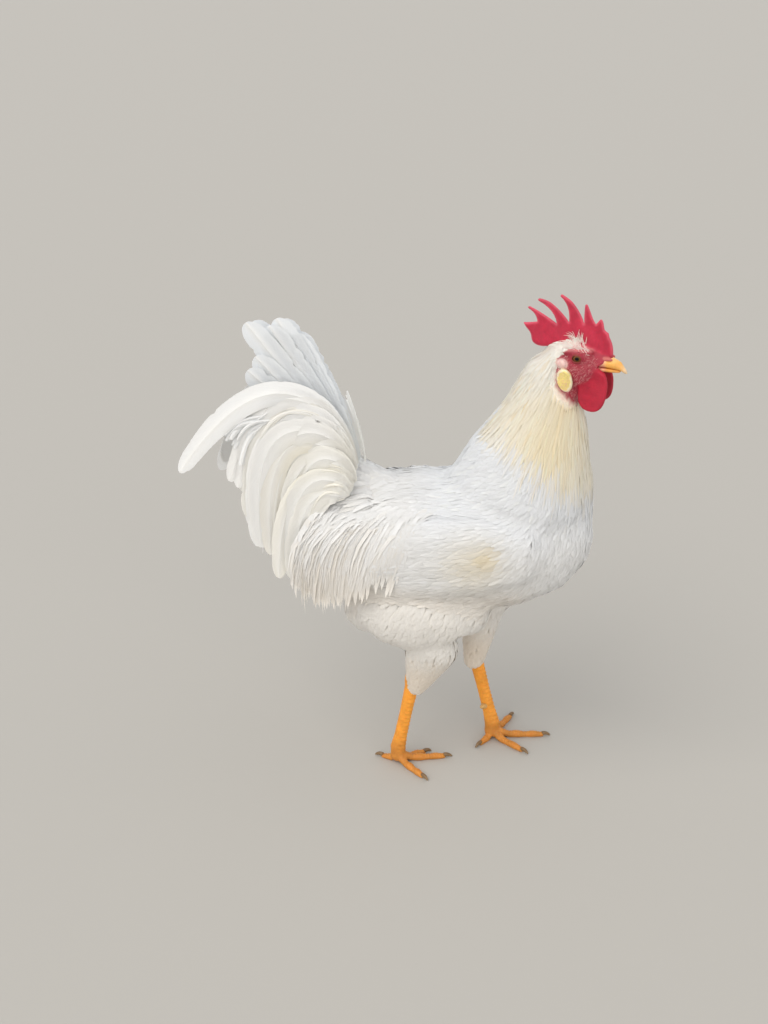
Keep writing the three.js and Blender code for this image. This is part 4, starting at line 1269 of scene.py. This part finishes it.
def coat_pieces():
    """The contour feathers, down and hackles, in batches that each stay under a piece's limit."""
    points, parts = scattered(260000)
    place = to_head(points)
    feathered = (place[:, 0] < feather_edge(place[:, 2]) - 3) | (points[:, 2] < 446)
    points, parts = points[feathered], parts[feathered]
    x, y, z = points.T
    plain = feather_look("white_contour_feather", 0.08, 0.3)
    silky = feather_look("silky_hackle_feather", 0.1, 0.4)
    fluff = feather_look("soft_leg_down", 0.04, 0.15)
    low_edge = hackle_edge(x)
    saddle_low = np.interp(x, [-150, -112, -84, -60, -46, -30, -14, 0], [215, 222, 262, 285, 310, 335, 365, 380])
    on_body = np.isin(parts, ("trunk", "wing", "saddle", "vent", "rump", "neck")) & (z > 165)
    trunk = on_body & (x > -178) & (z < low_edge + 12)
    hackle = np.isin(parts, ("neck", "trunk")) & (z > low_edge + mix(50, 46, ramp(x, 60, 120)))
    cape = np.isin(parts, ("neck", "trunk")) & (z > low_edge - 4) & (z < 492)
    saddle = on_body & (x < -8) & (x > -150) & (z > saddle_low + 12)
    leg = np.isin(parts, ("thigh", "drum")) | (on_body & (z < 225) & (x > -130))

    def roots(mask, apart):
        chosen = points[mask]
        return chosen[kept_apart(chosen, apart)]

    def lifts(r, mean, spread):
        return rng.normal(mean, spread, len(r))

    def contour(name, low, low_apart, length, width, depth, high, apart, mean, spread, narrow):
        """Broad feathers low in the coat, with narrow ones over them."""
        r = roots(low, low_apart)
        under = laid(r, body_flow, length, width, ROUND, depth, lifts(r, -0.7, 0.12), yaw=5, roll=2)
        r = roots(high, apart)
        lengths = rng.normal(mean, spread, len(r))
        over = laid(r, body_flow, lengths, narrow, LOCK, 3, lifts(r, 0.2, 0.16), yaw=8, roll=5, thickness=0.16)
        plant(name, "plumage", [tinted(under, "body", 0.01), tinted(over, "body", 0.018)], plain, 0)

    for word, side in SIDES.items():
        low_apart, apart, hackle_apart, saddle_apart, count = SPACING[word]
        half = (y < 0) == (side < 0)
        flank = trunk & half & (x < 90)
        contour("coat_side_" + word, flank, low_apart, 30, 11.0, 5, flank, apart, 26, 4, 4.8)

        r = roots(cape & half, 4.6)
        under = laid(r, neck_flow, 28, 10.5, ROUND, 4.5, lifts(r, -0.5, 0.15), yaw=3, roll=3)
        r = roots(hackle & half, hackle_apart)
        reach = np.clip(rng.normal(68, 8, len(r)), 45, 88) * mix(1, 0.3, ramp(r[:, 2], 410, 484))
        width = mix(4.6, 2.6, ramp(r[:, 2], 430, 490))
        depth = mix(3.5, 1.2, ramp(r[:, 2], 415, 450))
        over = laid(r, neck_flow, reach, width, LANCE, depth, lifts(r, 0.6, 0.14), yaw=3, roll=2, thickness=0.2)
        both = [tinted(under, "hackle", 0.015), tinted(over, "hackle", 0.02, 0.14, "#EBD29A")]
        plant("coat_hackle_" + word, "hackle", both, silky, 2, (95, 0))

        r = roots(saddle & half, saddle_apart)
        reach = np.clip(rng.normal(56, 8, len(r)), 35, 80)
        lying = laid(r, saddle_flow, reach, 4.6, LANCE, 3, lifts(r, 0.3, 0.15), yaw=4, roll=4, thickness=0.2)
        broad = hanging_strands(side, count, 8.0, LOCK, -0.8)
        strands = hanging_strands(side, 2 * count, 4.4, LANCE, 0.2)
        both = [tinted(lying, "body", 0.015, 0.03), tinted(broad, "saddle", 0.01)]
        plant("coat_saddle_" + word, "hackle", [*both, tinted(strands, "saddle", 0.015, 0.05)], silky, 0)

        coverts = [tail_coverts(side, 520), root_collar(side, 320), under_coverts(side, 520)]
        plant("coat_rump_" + word, "plumage", [tinted(f, "body", 0.015, 0.04) for f in coverts], plain, 0)

    contour("coat_breast", trunk & (x >= 86), 4.7, 25, 9.5, 4.5, trunk & (x >= 82), 3.3, 21, 3, 4.4)

    r = roots(leg & (z > 148), 3.6)
    lengths = rng.normal(22, 3, len(r))
    down = laid(r, leg_flow, lengths, 5.6, LOCK, 3.5, lifts(r, 0, 0.14), yaw=9, roll=4, thickness=0.16)
    batch = [tinted(down, "leg", 0.012)]
    r = roots(leg & (z <= 150) & (z > 90), 2.4)
    short = laid(r, leg_flow, 10, 4.2, ROUND, 2, 0.0, yaw=8, roll=3, thickness=0.2, camber=0.05)
    plant("coat_legs", "plumage", [*batch, tinted(short, "leg", 0.012)], fluff, 2, (-5, 0))

    r = roots(on_body & (np.abs(y) < 8) & (z > 318) & (x > -106) & (x < 62), 4.0)
    ridge = laid(r, body_flow, 27, 8.0, LOCK, 2.5, lifts(r, 0.5, 0.12), yaw=5, roll=2, thickness=0.16)
    plant("coat_back", "plumage", [tinted(ridge, "body", 0.015)], plain, 0)


def head_flow(p):
    """Up and back from the brow over the crown, then back and down behind the ear and the lobe."""
    brow = ramp(p[:, 2], 496, 502) * ramp(p[:, 0], 4, 12)
    down = ramp(p[:, 2], 503, 478)
    lying = np.stack([-1 + 0.35 * down, 0 * down, -0.1 - 1.5 * down], -1)
    rising = np.stack([-0.3 - 0.5 * ramp(p[:, 0], 18, 36), 0 * down, np.ones(len(p))], -1)
    return mix(lying, rising, brow[:, None])


def in_place(f):
    """Turns feathers laid in the head's own frame into the drawing's frame."""
    shape = f.paths.shape
    f.normals = (from_head(f.normals.reshape(-1, 3)) - from_head(np.zeros((1, 3)))).reshape(shape)
    f.paths = from_head(f.paths.reshape(-1, 3)).reshape(shape)
    return f


def head_cover():
    """The outermost of the head's own form and the neck's skin, on which the smallest feathers lie."""
    cover = head.coarser()
    grid = np.stack(np.meshgrid(*(line.ravel()[::2] for line in (head.x, head.y, head.z)), indexing="ij"), -1)
    neck = skin_body.at(from_head(grid.reshape(-1, 3))).reshape(cover.values.shape)
    return cover.like(np.minimum(cover.values, neck))


def head_tufts():
    """The smallest feathers: crown, nape and cheeks, and the fan of pale hair feathers over the brow."""
    cover = head_cover()
    points, _ = head.surface()
    points = points[np.abs(cover.at(points)) < 5]
    points = rng.permutation(points[(points[:, 2] > 436) & (points[:, 0] > -32)])
    for _ in range(3):
        points = points - cover.outward(points) * cover.at(points)[:, None]
    x, _, z = points.T
    free = (head.at(points, head_parts["comb"]) > 0.8) & (either_side(points, "lobe") > 0.5) & (z > 430)
    r = points[free & (x < feather_edge(z) + 1.5)]
    r = r[kept_apart(r, 1.8)]
    length = mix(7, 13, ramp(r[:, 0], 8, -14)) + 5 * ramp(r[:, 2], 468, 440)
    tufts = laid(r, head_flow, length, 2.4, LOCK, 0.8, rng.normal(1.0, 0.25, len(r)), 8, 6, 0.22, 0.06, cover)
    r = points[free & (x > 7) & (x < 31) & (np.abs(z - np.interp(x, [7, 18, 36], [506, 504, 498])) < 1.8)]
    r = r[kept_apart(r, 1.1)]
    length = rng.uniform(7, 17, len(r)) * mix(1, 0.55, ramp(r[:, 0], 24, 37))
    hairs = laid(r, head_flow, length, 0.7, POINTED, 0.4, rng.uniform(0.5, 2.0, len(r)), 13, 6, 0.22, 0.05, head)
    for f in (tufts, hairs):
        tinted(in_place(f), "hackle", 0.02)
    pinkness = rng.uniform(0.2, 0.8, len(hairs.colours))[:, None]
    hairs.colours = mix(hairs.colours, np.array(colour("#F2CFCB")[:3]), pinkness)
    look = feather_look("short_head_feather", 0.06, 0.2)
    return plant("coat_head", "plumage", [tufts, hairs], look, 2, (HEAD_PIVOT, 0))


def bristles(body_skin):
    """Short pale bristles on the bare cheeks and throat, set out over the skin by geometry nodes."""
    mesh = body_skin.data
    place = to_head(read_points(mesh))
    x, y, z = place.T
    cheek = ramp(x - feather_edge(z), 0, 3) * (z > 441) * (z < 502) * (x < 40) * (np.abs(y) > 3)
    cheek = cheek * ramp(np.hypot(x - EYE[0], z - EYE[2]), 5.5, 8) * ramp(either_side(place, "wattle"), 0.5, 2.5)
    cheek = cheek * (head.at(place, head_parts["comb"]) > 1)
    mesh.attributes.new("bristle", "FLOAT", "POINT").data.foreach_set("value", cheek.astype(np.float32))
    tree = bpy.data.node_groups.new("cheek_bristles", "GeometryNodeTree")
    for name, kind in (("Skin", "Geometry"), ("Density", "Float"), ("Length", "Float"), ("Look", "Material")):
        tree.interface.new_socket(name, in_out="INPUT", socket_type="NodeSocket" + kind)
    tree.interface.new_socket("Bristles", in_out="OUTPUT", socket_type="NodeSocketGeometry")
    given = add(tree, "NodeGroupInput").outputs
    where = add(tree, "GeometryNodeInputNamedAttribute", {"data_type": "FLOAT"}, Name="bristle")
    number = add(tree, "ShaderNodeMath", {"operation": "MULTIPLY"}, _0=where, _1=given["Density"])
    spots = add(tree, "GeometryNodeDistributePointsOnFaces", Mesh=given["Skin"], Density=number, Seed=5)
    cone = add(tree, "GeometryNodeMeshCone", Vertices=3, Radius_Top=0.00003, Radius_Bottom=0.00007, Depth=1.0)
    stood = add(tree, "GeometryNodeTransform", Geometry=cone, Translation=(0, 0, 0.45))
    lean = add(tree, "ShaderNodeVectorMath", {"operation": "SCALE"}, _0=spots.outputs["Normal"], Scale=0.35)
    least, most = (-0.95, -0.25, -1.1), (-0.25, 0.25, -0.2)
    wander = add(tree, "FunctionNodeRandomValue", {"data_type": "FLOAT_VECTOR"}, _0=least, _1=most, Seed=2)
    lying = add(tree, "ShaderNodeVectorMath", {"operation": "ADD"}, _0=lean, _1=wander)
    turn = add(tree, "FunctionNodeAlignRotationToVector", {"axis": "Z"}, Vector=lying)
    share = add(tree, "FunctionNodeRandomValue", {"data_type": "FLOAT"}, _2=0.5, _3=1.0, Seed=3)
    long = add(tree, "ShaderNodeMath", {"operation": "MULTIPLY"}, _0=share.outputs[1], _1=given["Length"])
    size = add(tree, "ShaderNodeCombineXYZ", X=1.0, Y=1.0, Z=long)
    each = add(tree, "GeometryNodeInstanceOnPoints", Points=spots, Instance=stood, Rotation=turn, Scale=size)
    solid = add(tree, "GeometryNodeRealizeInstances", Geometry=each)
    dressed = add(tree, "GeometryNodeSetMaterial", Geometry=solid, Material=given["Look"])
    add(tree, "NodeGroupOutput", Bristles=dressed)
    look, shader = material("pale_face_bristle")
    finish_material(shader, Base_Color=colour("#E8B2AE"), Roughness=0.55)
    carrier = body_skin.copy()
    bpy.context.scene.collection.objects.link(carrier)
    growth = carrier.modifiers.new("bristles", "NODES")
    growth.node_group = tree
    chosen = {"Density": 480000.0, "Length": 0.0036, "Look": look}  # bristles a square metre, and metres
    for socket in tree.interface.items_tree:
        if socket.name in chosen:
            growth[socket.identifier] = chosen[socket.name]
    grown = bpy.data.meshes.new_from_object(carrier.evaluated_get(bpy.context.evaluated_depsgraph_get()))
    bpy.data.objects.remove(carrier)
    made = bpy.data.objects.new("face_bristles", grown)
    bpy.context.scene.collection.objects.link(made)
    return shown(made, "face")


coat_pieces()
head_tufts()
bristles(body_skin)

# ---------------------------------------------------------------- the tail

FAN_ROOT = (-97, 352)
# Each quill of the fan as [direction in degrees, length], from the front one back.
FAN = [[113, 163], [115.6, 184], [119, 181], [124.6, 196], [129.5, 162], [135.5, 157]]
# The two long sickles: root, crest, tip and how far out they hang.
SICKLES = {
    "right": ((-98, -20, 362), (-172, -27, 443), (-287, -23, 343), 0.45),
    "left": ((-98, 20, 360), (-163, 27, 430), (-253, 21, 327), 0.6),
}
# Arcs of the lesser sickles and coverts, from the top one down.
ARCS = [
    ((-98, 21, 361), (-166, 27, 436), (-232, 27, 338), 0.5),
    ((-99, 22, 360), (-157, 29, 424), (-212, 32, 300), 0.8),
    ((-98, 26, 356), (-147, 35, 410), (-201, 39, 268), 1.25),
    ((-100, 27, 356), (-143, 38, 396), (-186, 43, 262), 1.15),
    ((-98, 37, 350), (-122, 46, 376), (-164, 50, 300), 0.6),
    ((-98, 39, 348), (-120, 50, 362), (-176, 53, 240), 0.95),
    ((-104, 45, 336), (-116, 57, 345), (-158, 60, 243), 0.7),
]
BROAD = ((0.0, 0.12, 0.3, 0.55, 0.8, 0.92, 0.975, 1.0), (0.25, 0.55, 0.85, 1.0, 1.0, 0.9, 0.6, 0.0))
SLENDER = ((0.0, 0.12, 0.3, 0.55, 0.75, 0.9, 0.97, 1.0), (0.35, 0.7, 0.95, 1.0, 0.95, 0.75, 0.42, 0.0))


def arched(root, crest, tip, hang, count):
    """Points evenly along a curve that rises to its crest and bows over to its tip."""
    root, crest, tip = (np.array(v, float) for v in (root, crest, tip))
    t = np.linspace(0, 1, 60)[:, None]
    rising = bowed(root, np.array([mix(root[0], crest[0], 0.3), crest[1], crest[2]]), crest, t)
    falling = bowed(crest, np.array([mix(crest[0], tip[0], hang), crest[1], crest[2]]), tip, t)
    return evenly(np.concatenate([rising, falling[1:]]), count)


def run_along(curve):
    """How far along the curve each of its points lies."""
    return np.concatenate([[0], np.cumsum(np.linalg.norm(np.diff(curve, axis=0), axis=1))])


def evenly(curve, count):
    run = run_along(curve)
    at = run[-1] * (1 - np.linspace(1, 0, count) ** 1.5)  # closer together toward the tip
    return np.stack([np.interp(at, run, curve[:, i]) for i in range(3)], -1)


# The ring round a quill: place across as a share of the way to an edge, which edge, and height in half webs.
RING_AROUND = (
    (-1, 0, 0), (-0.5, 0, -1), (0, 0, -1), (0.5, 1, -1), (1, 1, 0), (0.5, 1, 1),
    (0.1, 1, 1.2), (0, 1, 1), (-0.1, 0, 1.2), (-0.5, 0, 1),
)
SHAFT = (6, 7, 8)  # the places in the ring that lie on the shaft


def quill(path, face, half, profile, splits, thickness, camber, shaft):
    """One large feather: a web on either side of a raised shaft, its edges parted here and there between the barbs.

    face is the direction that the blade's outer side turns to, and splits how many partings each edge has.
    """
    run = run_along(path)
    s = run / run[-1]
    ahead = unit(np.gradient(path, axis=0))
    across = unit(np.cross(np.broadcast_to(face, path.shape), ahead))
    up = np.cross(ahead, across)
    nose = np.clip((s - 0.9) / 0.1, 0, 1)
    wide = half * np.interp(np.minimum(s, 0.9), *profile) * np.sqrt(np.clip(1 - nose**2, 1e-4, 1))
    edges = []
    for _ in range(2):
        reach = 1 - 0.03 * rng.random(len(path))
        for at in rng.uniform(0.25, 0.99, splits):
            reach -= rng.uniform(0.03, 0.15) * np.exp(-(((run - at * run[-1]) / 2.4) ** 2))
        edges.append(wide * np.clip(reach, 0.35, 1))
    ridge = shaft * (1 - 0.8 * s)
    web = thickness * np.minimum(1, wide / 3)
    rows = []
    for place, edge, height in RING_AROUND:
        out = 9 * place * ridge if abs(place) == 0.1 else place * edges[edge]
        drop = -camber * 2 * wide * (out / np.maximum(wide, 0.1)) ** 2
        lift = web * height / 2
        if place == 0:  # the shaft stands out above and below
            lift = lift + ridge * (0.7 if height > 0 else -0.5)
        rows.append(path + across * out[:, None] + up * (drop + lift)[:, None])
    return np.stack(rows, 1)[1:-1]


def quill_piece(name, blades, look, *nodes):
    """Makes one piece from large feathers, each with a strip of the baked map to itself."""
    meshes, bake, vane, colours = [], [], [], []
    for i, (rings, tone) in enumerate(blades):
        points, triangles = rings_to_mesh(rings)
        meshes.append((points, triangles))
        count, sides = rings.shape[:2]
        across = np.concatenate([np.tile(np.arange(sides) / sides, count), [0.5, 0.5]])
        along = np.concatenate([np.repeat(np.linspace(0.01, 0.99, count), sides), [0, 1]])
        bake.append(np.stack([(i + 0.06 + 0.88 * across) / len(blades), along], -1))
        length = run_along(rings.mean(1))[-1]
        off = np.linalg.norm(rings - rings[:, 7:8], axis=-1) * np.sign([place for place, _, _ in RING_AROUND])
        reach = np.concatenate([off.ravel(), [0, 0]])
        vane.append(np.stack([reach / VANE_MAP[0] + 0.5, along * length / VANE_MAP[1]], -1))
        shaft = np.concatenate([np.tile(np.isin(np.arange(sides), SHAFT), count), [True, True]])
        base = mix(plumage(points, "tail"), np.array(colour(tone)[:3]), 0.6) * rng.normal(1, 0.012)
        base[shaft] = mix(base[shaft], np.array(colour("#F7F6F2")[:3]), 0.6)
        colours.append(base)
    return finished_coat(name, "quill", meshes, look, np.concatenate(bake), vane, colours, 50, nodes)


def fan_blades(side):
    """The stiff feathers of the fan, each bent a little more to the rear than the one before it."""
    blades = []
    for i, (direction, length) in enumerate(FAN):
        s = np.linspace(0, 1, 60)
        reach = length - (rng.uniform(2, 9) if side == 1 else 0)
        bend = np.radians(direction + 3.0 * s**1.5)
        x = FAN_ROOT[0] + np.concatenate([[0], np.cumsum(np.cos(bend[1:]))]) * reach / 59
        z = FAN_ROOT[1] + np.concatenate([[0], np.cumsum(np.sin(bend[1:]))]) * reach / 59
        y = side * (2.0 + 0.8 * i + s * (2 + 0.5 * i))
        path = evenly(np.stack([x, y, z], -1), 96)
        face = np.array([-0.1, side, 0.1 * side])
        blades.append((quill(path, face, 15.5, BROAD, splits=5, thickness=0.2, camber=0.0, shaft=0.45), "#E2E9F0"))
    return blades


def curtain_blades(side, count):
    """The lesser sickles and coverts: one on each arc, then whole feathers and loose barbs between the arcs."""
    blades = []
    for k in range(count):
        v = k if k < 7 else rng.uniform(0, 6)
        i = min(int(v), 5)
        pairs = ((np.array(a, float), np.array(b, float)) for a, b in zip(ARCS[i], ARCS[i + 1]))
        root, crest, tip, hang = (mix(a, b, v - i) for a, b in pairs)
        shrink = 1.0 if k < 7 else rng.uniform(0.62, 1.0)
        shift = rng.normal(0, 1, 3) * (4, 1.0, 4) * (k >= 7) + np.array([0, 1.5, 0]) * (k % 2)
        crest = root + (crest - root) * mix(1, shrink, 0.5) + shift
        tip = root + (tip - root) * shrink + shift
        if side == 1:  # the left curtain lies closer to the fan
            root, crest, tip = (p * (1, 0.72, 1) - (17, 0, 0) for p in (root, crest, tip))
        path = arched(*(p * (1, side, 1) for p in (root, crest, tip)), hang, 60)
        whole = k % 2 == 0 or k < 7
        half = rng.uniform(11.0, 14.5) * mix(0.8, 1, shrink) if whole else rng.uniform(0.7, 2.2)
        tone = ("#F2F1ED", "#F2EFE4", "#F3F3F1", "#F1ECDE")[k % 4]
        face = np.array([-0.12, side, 0.25])
        blades.append((quill(path, face, half, SLENDER, splits=4, thickness=0.16, camber=0.03, shaft=0.3), tone))
    return blades


def strand(path, face, least, most, tone):
    """A thin strand of barbs that has come free of its vane."""
    half = rng.uniform(least, most)
    return quill(path, np.array(face), half, SLENDER, splits=2, thickness=0.25, camber=0.1, shaft=0.2), tone


def frayed_blades():
    """Loose strands: a tuft behind the sickle's crest, and two that stand in front of the fan."""
    blades = []
    s = np.linspace(0, 1, 22)[:, None]
    for _ in range(60):
        root = np.array([-184, -26, 414]) + rng.normal(0, 1, 3) * (7, 3, 5)
        reach = rng.uniform(0, 1)
        tip = np.array([mix(-234, -210, reach), -24, mix(396, 342, reach)]) + rng.normal(0, 1, 3) * (4, 3, 5)
        path = root + (tip - root) * s + np.array([-6.0, 0, 7]) * np.sin(np.pi * s)
        blades.append(strand(path, (0.1, -1, 0.2), 1.3, 3.2, "#EBEEF0"))
    s = np.linspace(0, 1, 26)[:, None]
    for group in ((-90, -95, 395, -111, 434), (-95, -104, 386, -114, 420)):
        for _ in range(4):
            low, bend, height, end, top = group + rng.normal(0, 0.8, 5) * (1, 1, 1, 1.6, 4)
            y = rng.normal(0, 1.5)
            path = bowed(np.array([low, y, 350]), np.array([bend, y, height]), np.array([end, y, top]), s)
            blades.append(strand(path, (0.2, -1, 0.1), 1.0, 1.7, "#F0F1EF"))
    return blades


def tail():
    """Fan, long sickles, lesser sickles and loose strands."""
    web = feather_look("tail_quill_web", 0.06, 0.3)
    for word, side in SIDES.items():
        quill_piece("tail_fan_feathers_" + word, fan_blades(side), web, "tail_fan_" + word)
        path = arched(*SICKLES[word], 200)
        face = np.array([-0.15, side, 0.2])
        sickle = quill(path, face, 13.2, SLENDER, splits=3, thickness=0.25, camber=0.04, shaft=0.4)
        quill_piece("tail_sickle_" + word, [(sickle, "#ECEDEC")], web, "sickle_" + word)
        blades = curtain_blades(side, 150 if word == "right" else 96)
        lesser = [f"lesser_sickle_{word}_{i}" for i in range(1, 6)]
        quill_piece("tail_lesser_sickles_" + word, blades, web, *lesser)
    quill_piece("tail_frayed_strands", frayed_blades(), web, "tail_front")


tail()
studio()
